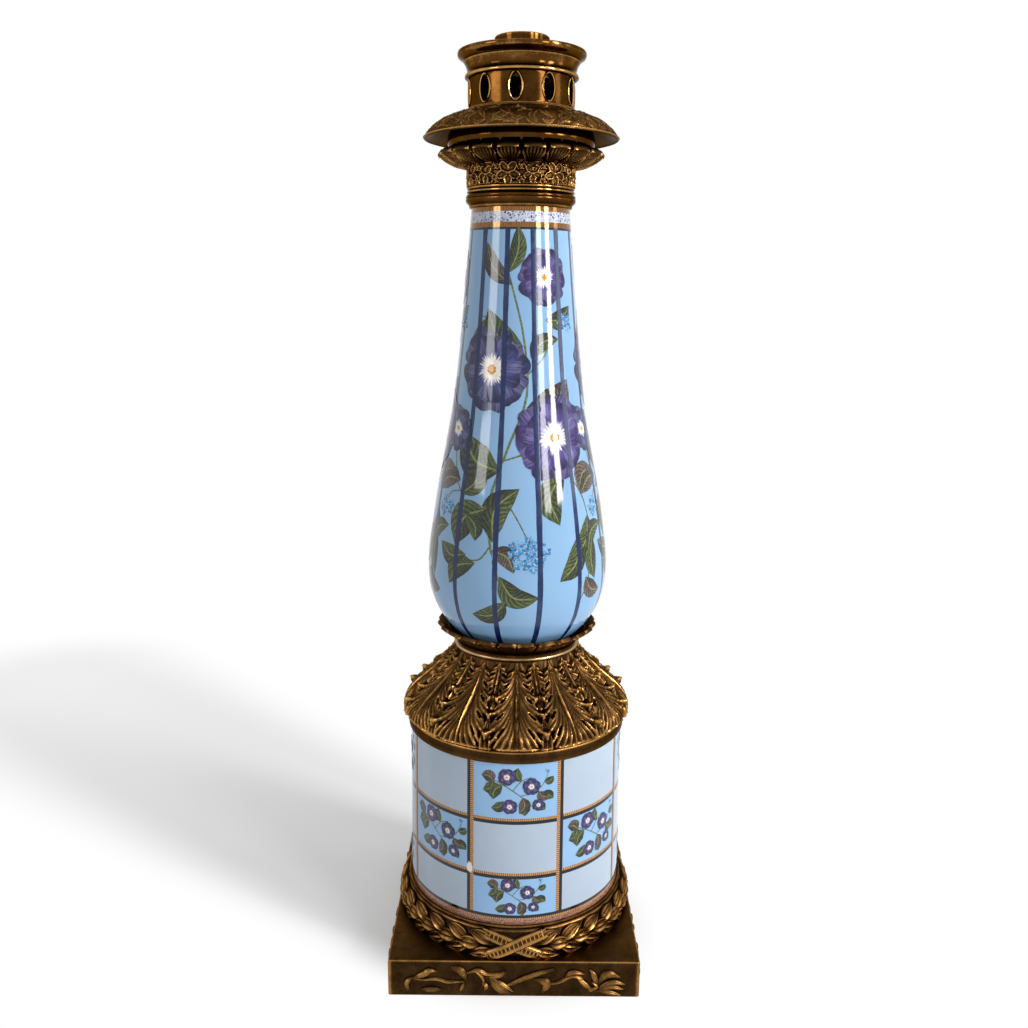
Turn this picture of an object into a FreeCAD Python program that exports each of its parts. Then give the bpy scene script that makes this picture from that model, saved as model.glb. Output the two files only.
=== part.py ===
import FreeCAD, Part
import math
import os

# A tall candle holder: a square bronze plinth, a porcelain drum, a bronze cap of acanthus leaves,
# a slender porcelain vase and a bronze candle head, all drawn together by one long iron rod.
# Millimetres, +Z up. The origin is the middle of the underside, and the front faces -Y.

# Sizes that every metal and porcelain piece shares
ROD_RADIUS = 4.0
ROD_CLEARANCE = 0.5
SEAT_CLEARANCE = 0.4
PLATE_THICKNESS = 3.0
CASTING_WALL = 3.0

# Plinth
PLINTH_HEIGHT = 22.3
PLINTH_MARGIN = 1.4
PLINTH_WALL = 4.0
PLINTH_PLATE = 4.5
PLINTH_BEVEL = 0.9
PLINTH_SPRIG_RELIEF = 1.6
PLINTH_SPRIG_SINK = 0.8
PLINTH_SPRIG_STEM = 1.5
# middle line of the sprig that trails over each side, in half widths along and half heights up
SPRIG_LINE_SHARES = (
    (-0.84, 0.10), (-0.62, -0.02), (-0.44, 0.14), (-0.30, 0.42), (-0.16, 0.05), (-0.05, -0.42),
    (0.14, -0.06), (0.34, 0.34), (0.26, -0.14), (0.50, 0.24), (0.62, -0.20), (0.82, 0.10),
)
# leaves of the sprig: start, then tip, in the same shares
SPRIG_LEAF_SHARES = (
    (-0.80, 0.10, -0.86, -0.42), (-0.74, 0.16, -0.62, 0.62), (-0.66, 0.02, -0.58, -0.52),
    (-0.46, 0.16, -0.50, 0.66), (-0.42, 0.04, -0.40, -0.56), (-0.28, 0.40, -0.10, 0.30),
    (-0.26, 0.16, -0.22, -0.44), (-0.05, -0.42, 0.00, -0.72), (0.18, 0.04, 0.36, 0.58),
    (0.24, -0.14, 0.26, -0.66), (0.46, 0.24, 0.56, 0.40), (0.60, -0.14, 0.52, 0.60),
    (0.66, -0.20, 0.76, 0.46), (0.66, -0.26, 0.82, -0.06), (0.64, -0.34, 0.82, -0.50),
)
SPRIG_LEAF_WIDTH = 3.4

# Laurel ring, the bound wreath that the drum stands in
RING_HEIGHT = 18.5
RING_SPREAD = 5.9
RING_LIP = 1.2
RING_LEDGE_HEIGHT = 6.0
RING_LEDGE_WIDTH = 7.0
# outside of the wreath from its lip down: share of the spread, share of the height
WREATH_SHARES = ((0.0, 0.86), (0.28, 0.86), (0.80, 0.62), (1.0, 0.30), (0.74, 0.0))
WREATH_SIDES = 36
LAUREL_STATIONS = 11
# rows of leaves, and the upper and lower ends of the ribbon, as shares of the way down the wreath
LAUREL_ROWS_SHARES = (0.30, 0.55, 0.80)
LAUREL_STAGGER_SHARES = (-0.25, 0.25, -0.25)
RIBBON_SHARES = (0.10, 0.40, 0.70, 0.97)
LAUREL_LENGTH = 17.0
LAUREL_WIDTH = 6.4
LAUREL_RELIEF = 1.5
LAUREL_SINK = 1.2
LAUREL_SLANT_SHARE = 0.10
RIBBON_WIDTH = 7.5
RIBBON_RELIEF = 1.3
RIBBON_HALF_SPAN = 13.0

# Porcelain drum, open at both ends
DRUM_FOOT_RADIUS = 63.8
DRUM_TAPER = 1.0
DRUM_HEIGHT = 109.6
DRUM_WALL = 5.5
FELT_THICKNESS = 1.2
FELT_MARGIN = 0.6

# Acanthus cap
CAP_HEIGHT = 47.9
CAP_OVERHANG = 1.4
CAP_BAND_HEIGHT = 7.0
CAP_TOP_RADIUS = 35.4
CAP_SPIGOT_DEPTH = 5.0
CAP_SPIGOT_WALL = 2.0
# slope of the bell from the band up: share of the way in, share of the way up
BELL_SHARES = (
    (0.0, 0.0), (0.066, 0.12), (0.23, 0.279), (0.449, 0.45), (0.69, 0.643), (0.821, 0.768),
    (0.942, 0.89), (1.0, 1.0),
)
LEAF_COUNT = 12
LEAF_LIFT = 3.0
# each row of a leaf, through a lobe or a notch: share of the way down the bell, half width in
# half pitches, lift in leaf lifts, and the share of that lift which its edge has
LEAF_SHARES = (
    (0.06, 0.36, 0.25, 0.5), (0.17, 0.64, 0.60, 0.9), (0.24, 0.46, 0.80, 0.4),
    (0.36, 0.72, 1.20, 0.9), (0.44, 0.54, 1.35, 0.4), (0.56, 0.88, 1.55, 0.9),
    (0.64, 0.64, 1.55, 0.4), (0.76, 0.88, 1.55, 0.9), (0.83, 0.58, 1.50, 0.5),
    (0.91, 0.62, 1.55, 0.9), (0.97, 0.20, 1.50, 0.9),
)
# across a leaf: share of its half width, half pitches beyond that, share of its lift, share of
# the lift of its edge
LEAF_SECTION_SHARES = (
    (-1.0, -0.08, 0.0, 0.0), (-1.0, 0.0, 0.0, 1.0), (-0.55, 0.0, 0.5, 0.0),
    (-0.14, 0.0, 0.6, 0.0), (0.0, 0.0, 1.0, 0.0), (0.14, 0.0, 0.6, 0.0),
    (0.55, 0.0, 0.5, 0.0), (1.0, 0.0, 0.0, 1.0), (1.0, 0.08, 0.0, 0.0), (0.0, 1.0, 0.0, 0.0),
)
# small leaves between the large ones: share of the way down, half width in half pitches, lift
SMALL_LEAF_LIFT = 2.4
SMALL_LEAF_SHARES = (
    (0.03, 0.08, 0.3), (0.15, 0.30, 0.8), (0.24, 0.20, 1.0), (0.36, 0.34, 1.3), (0.52, 0.04, 1.2),
)
# across a small leaf: share of its half width, share of its lift
SMALL_LEAF_SECTION_SHARES = ((-1.0, 0.4), (0.0, 1.0), (1.0, 0.4), (0.0, -0.7))

# Seat ring and calyx under the vase
SEAT_RING_HEIGHT = 4.0
SEAT_RING_OVERHANG = 1.4
CALYX_FLOOR = 2.5
CALYX_REACH = 9.6
CALYX_RISE = 6.9
CALYX_WALL = 1.8
CALYX_PETAL_START_SHARE = 0.5
PETAL_COUNT = 12
PETAL_LENGTH = 3.9
# each row: share of the way out along the petal, half width in half pitches, lift in petal walls
CALYX_PETAL_SHARES = ((0.0, 0.88, 0.6), (0.6, 0.96, 0.9), (1.0, 0.42, 0.8))

# Porcelain vase
VASE_HEIGHT = 238.6
VASE_FOOT_RADIUS = 33.0
VASE_BELLY_RADIUS = 51.6
VASE_NECK_RADIUS = 26.7
VASE_WALL = 4.5
VASE_FLOOR = 6.0
VASE_FELT = 1.5
# points of the outline: height in vase heights, then swell, 0 at the foot or neck, 1 at the belly
VASE_BASIN_SHARES = ((0.0, 0.0), (0.0505, 0.60), (0.147, 1.0))
VASE_BELLY_SHARES = ((0.147, 1.0), (0.219, 0.972), (0.28, 0.896))
VASE_WAIST_SHARES = ((0.437, 0.624), (0.530, 0.456), (0.631, 0.330))

# Neck collar and the frieze band above it
COLLAR_HEIGHT = 11.0
COLLAR_SWELL = 3.0
# mouldings from the neck up: share of the swell, share of the height
COLLAR_SHARES = (
    (0.0, 0.0), (0.5, 0.18), (1.0, 0.38), (1.0, 0.66), (0.45, 0.74), (0.8, 0.80), (0.8, 0.92),
)
COLLAR_SPIGOT_DEPTH = 5.0
FRIEZE_HEIGHT = 11.3
FRIEZE_RADIUS = 28.7
FRIEZE_SPIGOT = 2.5

# Lotus ring
LOTUS_HEIGHT = 5.6
LOTUS_COUNT = 20
LOTUS_TIP_RADIUS = 44.1
LOTUS_TIP_RISE = 5.3
LOTUS_THICKNESS = 1.5
# cross section of a petal: share of the half width, share of the thickness
LOTUS_SECTION_SHARES = ((-1.0, 0.0), (-0.6, 0.8), (0.6, 0.8), (1.0, 0.0), (0.0, -0.2))
# each row: share of the way out, share of the rise, half width in half pitches
LOTUS_PETAL_SHARES = (
    (0.0, 0.0, 0.66), (0.45, 0.26, 0.86), (0.85, 0.76, 0.92), (1.0, 1.0, 0.62),
)

# Spacer ring between the lotus ring and the drip pan
SPACER_HEIGHT = 15.0
SPACER_RADIUS = 39.5
SPACER_NECK_RADIUS = 33.5
# swell from the foot up: share of the way out, share of the height
SPACER_FOOT_SHARES = ((0.0, 0.05), (0.78, 0.18), (1.0, 0.34))
SPACER_NECK_SHARES = ((0.76, 0.56), (0.0, 0.76))

# Drip pan, a shallow bell that throws wax clear of the lotus ring
PAN_RADIUS = 52.5
PAN_DROP = 14.0
PAN_THICKNESS = 2.2
PAN_RECESS_DEPTH = 3.8
PAN_RECESS_RADIUS = 24.0
# slope of the pan from the gallery out: share of the way out, share of the drop
PAN_SHARES = ((0.0, 0.0), (0.26, 0.14), (0.50, 0.30), (0.68, 0.45), (0.87, 0.72), (1.0, 1.0))

# Pierced gallery
GALLERY_RADIUS = 28.0
GALLERY_HEIGHT = 15.7
GALLERY_WALL = 1.8
GALLERY_FLOOR = 2.5
GALLERY_BASE_RADIUS = 28.7
GALLERY_BASE_HEIGHT = 1.2
WINDOW_COUNT = 10
WINDOW_TURN = -6.65
WINDOW_WIDTH = 5.3
WINDOW_HEIGHT = 11.4
WINDOW_RIM = 0.9
WINDOW_RIM_RELIEF = 0.5
WINDOW_SIDES = 12

# Socket plate, the floor of the cup, and the flared cup over it
SOCKET_PLATE_THICKNESS = 2.5
SOCKET_PLATE_SPIGOT = 2.6
SOCKET_PLATE_SPIGOT_WALL = 1.9
CUP_HEIGHT = 13.4
CUP_LIP_RADIUS = 34.0
CUP_LIP_HEIGHT = 2.4
CUP_BEAD_RADIUS = 30.2
CUP_WAIST_RADIUS = 29.0
CUP_WALL = 1.9
# flare of the cup from its waist to its lip: share of the way out, share of the way up
CUP_FLARE_SHARES = ((0.0, 0.15), (0.28, 0.50), (0.9, 1.0))

# Candle nozzle, which drops into the cup and lifts out
CANDLE_BORE_RADIUS = 11.5
CANDLE_BORE_DEPTH = 25.0
NOZZLE_RADIUS = 14.5
NOZZLE_SHANK_RADIUS = 13.4
NOZZLE_RISE = 18.7
NOZZLE_FLANGE_RADIUS = 17.5
NOZZLE_FLANGE_THICKNESS = 1.5
NOZZLE_FLOOR = 1.5
NOZZLE_CHAMFER = 0.6

# Rod, washers and nuts
BASE_WASHER_RADIUS = 12.0
TOP_WASHER_RADIUS = 9.0
WASHER_THICKNESS = 1.5
NUT_ACROSS_FLATS = 13.0
NUT_HEIGHT = 6.0
ROD_END = 1.2

# Working values
HEX_SIDES = 6
PLINTH_SIDES = 4
FULL_TURN = 360.0
FRONT = -90.0
QUARTER_TURN = 90.0
OVERRUN = 1.0
UP = FreeCAD.Vector(0, 0, 1)
ORIGIN = FreeCAD.Vector(0, 0, 0)

# Radii that follow from the sizes above
ROD_HOLE = ROD_RADIUS + ROD_CLEARANCE
DRUM_TOP_RADIUS = DRUM_FOOT_RADIUS - DRUM_TAPER
DRUM_BORE = DRUM_TOP_RADIUS - DRUM_WALL
RING_BORE = DRUM_FOOT_RADIUS - RING_LEDGE_WIDTH
RING_POCKET = DRUM_FOOT_RADIUS + SEAT_CLEARANCE
RING_RADIUS = DRUM_FOOT_RADIUS + RING_SPREAD
PLINTH_WIDTH = 2 * (RING_RADIUS + PLINTH_MARGIN)
CAP_RADIUS = DRUM_TOP_RADIUS + CAP_OVERHANG
NECK_BORE = VASE_NECK_RADIUS - VASE_WALL
SEAT_RING_RADIUS = CAP_TOP_RADIUS + SEAT_RING_OVERHANG
CALYX_BASE_RADIUS = VASE_FOOT_RADIUS
FRIEZE_BORE = FRIEZE_RADIUS - CASTING_WALL
GALLERY_BORE = GALLERY_RADIUS - GALLERY_WALL
GALLERY_FOOT_RADIUS = PAN_RECESS_RADIUS - SEAT_CLEARANCE
SOCKET_HOLE = NOZZLE_SHANK_RADIUS + SEAT_CLEARANCE

# Levels of the stack, each worked out from the piece below
RING_BASE = PLINTH_HEIGHT
DRUM_FELT_BASE = RING_BASE + RING_LEDGE_HEIGHT
DRUM_BASE = DRUM_FELT_BASE + FELT_THICKNESS
DRUM_TOP = DRUM_BASE + DRUM_HEIGHT
CAP_BASE = DRUM_TOP
CAP_TOP = CAP_BASE + CAP_HEIGHT
CALYX_BASE = CAP_TOP + SEAT_RING_HEIGHT
VASE_FELT_BASE = CALYX_BASE + CALYX_FLOOR
VASE_BASE = VASE_FELT_BASE + VASE_FELT
VASE_TOP = VASE_BASE + VASE_HEIGHT
COLLAR_BASE = VASE_TOP
FRIEZE_BASE = COLLAR_BASE + COLLAR_HEIGHT
LOTUS_BASE = FRIEZE_BASE + FRIEZE_HEIGHT
SPACER_BASE = LOTUS_BASE + LOTUS_HEIGHT
PAN_BASE = SPACER_BASE + SPACER_HEIGHT
PAN_FLOOR_TOP = PAN_BASE + PLATE_THICKNESS
PAN_TOP = PAN_FLOOR_TOP + PAN_RECESS_DEPTH
GALLERY_TOP = PAN_TOP + GALLERY_HEIGHT
SOCKET_PLATE_TOP = GALLERY_TOP + SOCKET_PLATE_THICKNESS
CUP_TOP = GALLERY_TOP + CUP_HEIGHT
NOZZLE_TOP = SOCKET_PLATE_TOP + NOZZLE_RISE
GALLERY_FLOOR_TOP = PAN_FLOOR_TOP + GALLERY_FLOOR
PLATE_UNDERSIDE = PLINTH_HEIGHT - PLINTH_PLATE
ROD_TOP = GALLERY_FLOOR_TOP + WASHER_THICKNESS + NUT_HEIGHT + ROD_END
ROD_BOTTOM = PLATE_UNDERSIDE - WASHER_THICKNESS - NUT_HEIGHT - ROD_END


def at(radius, turn, height):
    """A point from its distance to the axis, its turn in degrees and its height."""
    angle = math.radians(turn)
    return FreeCAD.Vector(radius * math.cos(angle), radius * math.sin(angle), height)


def turned(*runs):
    """A solid of revolution. A run is one (radius, height) point, or a list of three for an arc."""
    edges = []
    first = None
    last = None
    for run in runs:
        points = [FreeCAD.Vector(r, 0, z) for r, z in (run if isinstance(run, list) else [run])]
        if last is not None and last.distanceToPoint(points[0]) > 0:
            edges.append(Part.makeLine(last, points[0]))
        if len(points) > 1:
            edges.append(Part.Arc(*points).toShape())
        first = first or points[0]
        last = points[-1]
    edges.append(Part.makeLine(last, first))
    return Part.Face(Part.Wire(edges)).revolve(ORIGIN, UP, FULL_TURN)


def rod(radius, bottom, top):
    """A plain cylinder on the axis between two levels."""
    return Part.makeCylinder(radius, top - bottom, FreeCAD.Vector(0, 0, bottom))


def around(shape, count, first_turn=FRONT):
    """Copies of a shape made on the +X side, spaced evenly round the axis."""
    copies = []
    for index in range(count):
        copy = shape.copy()
        copy.rotate(ORIGIN, UP, first_turn + index * FULL_TURN / count)
        copies.append(copy)
    return copies


def joined(body, extras):
    """One casting from a body and the raised shapes on it."""
    casting = body.fuse(extras)
    return casting.Solids[0] if len(casting.Solids) == 1 else casting


def closed(faces):
    """A solid from the flat faces that close it."""
    shell = Part.makeShell(faces)
    shell.sewShape()
    solid = Part.Solid(Part.Shell(shell.Faces))
    if solid.Volume < 0:
        solid.reverse()
    return solid


def leaf(tail, tip, side, out, width, relief, sink):
    """A simple leaf: pointed at both ends, with a raised midrib and its root in the ground."""
    middle = (tail + tip) * 0.5
    corners = [
        tail - out * (sink / 2),
        tip - out * (sink / 2),
        middle + side * (width / 2) - out * (sink / 4),
        middle - side * (width / 2) - out * (sink / 4),
        middle + out * relief,
        middle - out * sink,
    ]
    triangles = [
        (0, 2, 4), (2, 1, 4), (1, 3, 4), (3, 0, 4),
        (2, 0, 5), (1, 2, 5), (3, 1, 5), (0, 3, 5),
    ]
    faces = []
    for a, b, c in triangles:
        faces.append(Part.Face(Part.makePolygon([corners[a], corners[b], corners[c], corners[a]])))
    return closed(faces)


def skinned(rings):
    """A solid in flat facets over a row of rings that have as many points each."""
    count = len(rings[0])
    faces = []
    for near, far in zip(rings, rings[1:]):
        for index in range(count):
            following = (index + 1) % count
            for corners in (
                (near[index], near[following], far[following]),
                (near[index], far[following], far[index]),
            ):
                faces.append(Part.Face(Part.makePolygon([*corners, corners[0]])))
    for ring in (rings[0], rings[-1]):
        faces.append(Part.Face(Part.makePolygon([*ring, ring[0]])))
    return closed(faces)


def blade(sections):
    """A blade in flat facets. A section is its centre, side and out directions and offsets."""
    rings = []
    for centre, side, out, offsets in sections:
        rings.append([centre + side * across + out * lift for across, lift in offsets])
    return skinned(rings)


def sloped(shares, inner_radius, outer_radius, top, bottom):
    """Points of a slope given in shares of the way between two radii and two levels."""
    points = []
    for across, along in shares:
        radius = inner_radius + (outer_radius - inner_radius) * across
        points.append((radius, top + (bottom - top) * along))
    return points


def on_slope(points, share):
    """Place and outward lean at a share of the length along a line of (radius, height) points."""
    lengths = []
    for start, end in zip(points, points[1:]):
        lengths.append(math.hypot(end[0] - start[0], end[1] - start[1]))
    goal = share * sum(lengths)
    for (start, end), length in zip(zip(points, points[1:]), lengths):
        if goal <= length or end is points[-1]:
            part = goal / length
            radius = start[0] + (end[0] - start[0]) * part
            height = start[1] + (end[1] - start[1]) * part
            lean = ((start[1] - end[1]) / length, (end[0] - start[0]) / length)
            return radius, height, lean
        goal -= length


def square_block(width, bottom, top):
    corner = FreeCAD.Vector(-width / 2, -width / 2, bottom)
    return Part.makeBox(width, width, top - bottom, corner)


def make_sprig():
    """The trailing branch in relief on the front side of the plinth."""
    half_width = PLINTH_WIDTH / 2
    half_height = PLINTH_HEIGHT / 2
    out = FreeCAD.Vector(0, -1, 0)

    def place(along, up):
        return FreeCAD.Vector(along * half_width, -half_width, half_height + up * half_height)

    pieces = []
    for start, end in zip(SPRIG_LINE_SHARES, SPRIG_LINE_SHARES[1:]):
        tail = place(*start)
        tip = place(*end)
        run = (tip - tail).normalize()
        reach = run * PLINTH_SPRIG_STEM
        side = run.cross(out)
        pieces.append(leaf(
            tail - reach, tip + reach, side, out, 2 * PLINTH_SPRIG_STEM,
            PLINTH_SPRIG_RELIEF, PLINTH_SPRIG_SINK,
        ))
    for start_x, start_z, tip_x, tip_z in SPRIG_LEAF_SHARES:
        tail = place(start_x, start_z)
        tip = place(tip_x, tip_z)
        side = (tip - tail).normalize().cross(out)
        pieces.append(leaf(
            tail, tip, side, out, SPRIG_LEAF_WIDTH, PLINTH_SPRIG_RELIEF, PLINTH_SPRIG_SINK,
        ))
    return pieces


def make_plinth():
    """A square casting, open beneath, bevelled all round, with a sprig on each side."""
    block = square_block(PLINTH_WIDTH, 0, PLINTH_HEIGHT)
    block = block.makeChamfer(PLINTH_BEVEL, block.Edges)
    hollow = square_block(
        PLINTH_WIDTH - 2 * PLINTH_WALL, -OVERRUN, PLINTH_HEIGHT - PLINTH_PLATE,
    )
    block = block.cut([hollow, rod(ROD_HOLE, 0, PLINTH_HEIGHT + OVERRUN)])
    sprigs = []
    for piece in make_sprig():
        sprigs += around(piece, PLINTH_SIDES, 0)
    return joined(block, sprigs)


def wreath_line():
    """Outside of the laurel ring from its lip down to the plinth."""
    lip = RING_POCKET + RING_LIP
    points = []
    for spread, rise in WREATH_SHARES:
        radius = lip + (RING_RADIUS - lip) * spread
        points.append((radius, RING_BASE + RING_HEIGHT * rise))
    return points


def laurel_leaf(turn, share, heading):
    """One leaf of the wreath, lying along it and slanting away from the middle row."""
    line = wreath_line()
    radius, height, lean = on_slope(line, share)
    tilt = LAUREL_SLANT_SHARE * (share - LAUREL_ROWS_SHARES[1]) / LAUREL_ROWS_SHARES[1]
    half_turn = math.degrees(LAUREL_LENGTH / 2 / radius)
    tail_radius, tail_height, _ = on_slope(line, share - tilt)
    tip_radius, tip_height, _ = on_slope(line, share + tilt)
    out = at(lean[0], turn, 0) + UP * lean[1]
    tail = at(tail_radius, turn - heading * half_turn, tail_height)
    tip = at(tip_radius, turn + heading * half_turn, tip_height)
    side = (tip - tail).normalize().cross(out)
    bow = (at(radius, turn, height) - (tail + tip) * 0.5).dot(out)
    return leaf(tail, tip, side, out, LAUREL_WIDTH, LAUREL_RELIEF + bow, LAUREL_SINK - bow)


def ribbon(turn, heading):
    """One of the two crossed bands that bind the wreath."""
    line = wreath_line()
    half_turn = math.degrees(RIBBON_HALF_SPAN / RING_RADIUS)
    sections = []
    for index, share in enumerate(RIBBON_SHARES):
        radius, height, lean = on_slope(line, share)
        across = 2 * index / (len(RIBBON_SHARES) - 1) - 1
        here = turn + heading * half_turn * across
        out = at(lean[0], here, 0) + UP * lean[1]
        side = at(1, here + QUARTER_TURN, 0)
        half = RIBBON_WIDTH / 2
        offsets = [
            (-half, -LAUREL_SINK), (half, -LAUREL_SINK),
            (half, RIBBON_RELIEF), (-half, RIBBON_RELIEF),
        ]
        sections.append((at(radius, here, height), side, out, offsets))
    return blade(sections)


def make_laurel_ring():
    """A wreath of laurel bound at the front and back, with a ledge inside for the drum."""
    rings = []
    for radius, height in [(RING_POCKET + RING_LIP, RING_BASE + RING_HEIGHT), *wreath_line()]:
        ring = []
        for side in range(WREATH_SIDES):
            ring.append(at(radius, FULL_TURN / WREATH_SIDES * side, height))
        rings.append(ring)
    body = skinned(rings)
    leaves = []
    step = FULL_TURN / 2 / (LAUREL_STATIONS + 1)
    for share, stagger in zip(LAUREL_ROWS_SHARES, LAUREL_STAGGER_SHARES):
        for station in range(LAUREL_STATIONS):
            offset = step * (station + 1 + stagger)
            heading = 1 if offset < QUARTER_TURN else -1
            leaves.append(laurel_leaf(FRONT + offset, share, heading))
            leaves.append(laurel_leaf(FRONT - offset, share, -heading))
    bands = []
    for turn in (FRONT, -FRONT):
        bands += [ribbon(turn, 1), ribbon(turn, -1)]
    pocket = rod(RING_POCKET, DRUM_FELT_BASE, RING_BASE + RING_HEIGHT + OVERRUN)
    bore = rod(RING_BORE, RING_BASE - OVERRUN, RING_BASE + RING_HEIGHT + OVERRUN)
    foot = rod(2 * RING_RADIUS, 0, RING_BASE)
    return joined(body, leaves + bands).cut([pocket, bore, foot])


def make_drum_felt():
    return turned(
        (RING_BORE + FELT_MARGIN, DRUM_FELT_BASE), (DRUM_FOOT_RADIUS - FELT_MARGIN, DRUM_FELT_BASE),
        (DRUM_FOOT_RADIUS - FELT_MARGIN, DRUM_BASE), (RING_BORE + FELT_MARGIN, DRUM_BASE),
    )


def make_drum():
    """A porcelain tube that widens a little to its foot."""
    return turned(
        (DRUM_BORE, DRUM_BASE), (DRUM_FOOT_RADIUS, DRUM_BASE),
        (DRUM_TOP_RADIUS, DRUM_TOP), (DRUM_BORE, DRUM_TOP),
    )


def bell_line():
    """Outside of the cap from its top edge down to its plain band."""
    low = CAP_BASE + CAP_BAND_HEIGHT
    points = sloped(BELL_SHARES, CAP_RADIUS - CAP_OVERHANG, CAP_TOP_RADIUS, low, CAP_TOP)
    return points[::-1]


def leafed_ring(share, width_share, lift, edge_share):
    """One ring round the bell, raised where it crosses each leaf."""
    radius, height, lean = on_slope(bell_line(), share)
    half_pitch = FULL_TURN / LEAF_COUNT / 2
    points = []
    for leaf_index in range(LEAF_COUNT):
        middle = FRONT + 2 * half_pitch * leaf_index
        for across, beyond, inner_rise, edge_rise in LEAF_SECTION_SHARES:
            turn = middle + half_pitch * (across * width_share + beyond)
            rise = lift * (inner_rise + edge_rise * edge_share)
            points.append(at(radius + lean[0] * rise, turn, height + lean[1] * rise))
    return points


def small_leaf():
    """One of the small leaves of the cap, on the +X side."""
    half_pitch = math.pi / LEAF_COUNT
    sections = []
    for share, width_share, lift_share in SMALL_LEAF_SHARES:
        radius, height, lean = on_slope(bell_line(), share)
        half = radius * half_pitch * width_share
        offsets = []
        for across, rise in SMALL_LEAF_SECTION_SHARES:
            offsets.append((half * across, SMALL_LEAF_LIFT * lift_share * rise))
        out = FreeCAD.Vector(lean[0], 0, lean[1])
        sections.append((at(radius, 0, height), FreeCAD.Vector(0, 1, 0), out, offsets))
    return blade(sections)


def make_acanthus_cap():
    """A hollow bell of acanthus leaves on a plain band, with a spigot down inside the drum."""
    outside = bell_line()
    rings = [leafed_ring(0, LEAF_SHARES[0][1], 0, 0)]
    for share, width_share, lift_share, edge_share in LEAF_SHARES:
        rings.append(leafed_ring(share, width_share, LEAF_LIFT * lift_share, edge_share))
    rings.append(leafed_ring(1, LEAF_SHARES[-1][1], 0, 0))
    rings.append([point - UP * (CAP_BAND_HEIGHT / 2) for point in rings[-1]])
    band = rod(CAP_RADIUS, CAP_BASE, CAP_BASE + CAP_BAND_HEIGHT)
    half_pitch = FULL_TURN / LEAF_COUNT / 2
    small_leaves = around(small_leaf(), LEAF_COUNT, FRONT + half_pitch)
    spigot = DRUM_BORE - SEAT_CLEARANCE
    bore = spigot - CAP_SPIGOT_WALL
    inside = [(radius - CASTING_WALL, height - CASTING_WALL / 2) for radius, height in outside]
    hollow = turned(
        (0, CAP_BASE - CAP_SPIGOT_DEPTH), (bore, CAP_BASE - CAP_SPIGOT_DEPTH),
        (bore, CAP_BASE + CAP_BAND_HEIGHT), inside[-3],
        (inside[0][0], CAP_TOP - PLATE_THICKNESS), (0, CAP_TOP - PLATE_THICKNESS),
    )
    spigot_ring = rod(spigot, CAP_BASE - CAP_SPIGOT_DEPTH, CAP_BASE + CASTING_WALL)
    bell = joined(skinned(rings), [spigot_ring, band] + small_leaves)
    return bell.cut([hollow, rod(ROD_HOLE, CAP_BASE, CAP_TOP + OVERRUN)]).Solids[0]


def make_seat_ring():
    """The plain double-edged ring that the calyx stands on."""
    groove = SEAT_RING_OVERHANG / 2
    middle = CAP_TOP + SEAT_RING_HEIGHT / 2
    return turned(
        (ROD_HOLE, CAP_TOP), (SEAT_RING_RADIUS - groove, CAP_TOP),
        (SEAT_RING_RADIUS, middle), (SEAT_RING_RADIUS - groove, CALYX_BASE),
        (ROD_HOLE, CALYX_BASE),
    )


def calyx_petal():
    """One rounded petal of the calyx on the +X side, turned out at its tip."""
    slope = FreeCAD.Vector(CALYX_REACH, 0, CALYX_RISE)
    start = FreeCAD.Vector(CALYX_BASE_RADIUS, 0, CALYX_BASE) + slope * CALYX_PETAL_START_SHARE
    length = slope.Length * (1 - CALYX_PETAL_START_SHARE) + PETAL_LENGTH
    slope.normalize()
    out = FreeCAD.Vector(slope.z, 0, -slope.x)
    sections = []
    for share, width_share, lift_share in CALYX_PETAL_SHARES:
        centre = start + slope * (length * share)
        half = math.pi * centre.x / PETAL_COUNT * width_share
        drop = half * half / (2 * centre.x)
        lift = CALYX_WALL * lift_share
        offsets = [
            (-half, -drop), (-half / 2, lift), (0, lift / 2), (half / 2, lift), (half, -drop),
            (0, -drop - CALYX_WALL / 2),
        ]
        sections.append((centre, FreeCAD.Vector(0, 1, 0), out, offsets))
    return blade(sections)


def make_calyx():
    """A shallow cup of petals that cradles the foot of the vase."""
    rim_radius = CALYX_BASE_RADIUS + CALYX_REACH
    rim_height = CALYX_BASE + CALYX_RISE
    body = turned(
        (ROD_HOLE, CALYX_BASE), (CALYX_BASE_RADIUS, CALYX_BASE),
        (rim_radius, rim_height), (rim_radius - CALYX_WALL, rim_height + CALYX_WALL / 2),
        (CALYX_BASE_RADIUS + CALYX_WALL, VASE_FELT_BASE), (ROD_HOLE, VASE_FELT_BASE),
    )
    return joined(body, around(calyx_petal(), PETAL_COUNT))


def make_vase_felt():
    outer = VASE_FOOT_RADIUS - FELT_MARGIN
    return turned(
        (ROD_HOLE, VASE_FELT_BASE), (outer, VASE_FELT_BASE),
        (outer, VASE_BASE), (ROD_HOLE, VASE_BASE),
    )


def vase_arc(shares, end_radius):
    """Three points of the vase's outside, between the belly and its foot or neck."""
    points = []
    for rise, swell in shares:
        radius = end_radius + (VASE_BELLY_RADIUS - end_radius) * swell
        points.append((radius, VASE_BASE + VASE_HEIGHT * rise))
    return points


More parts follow.
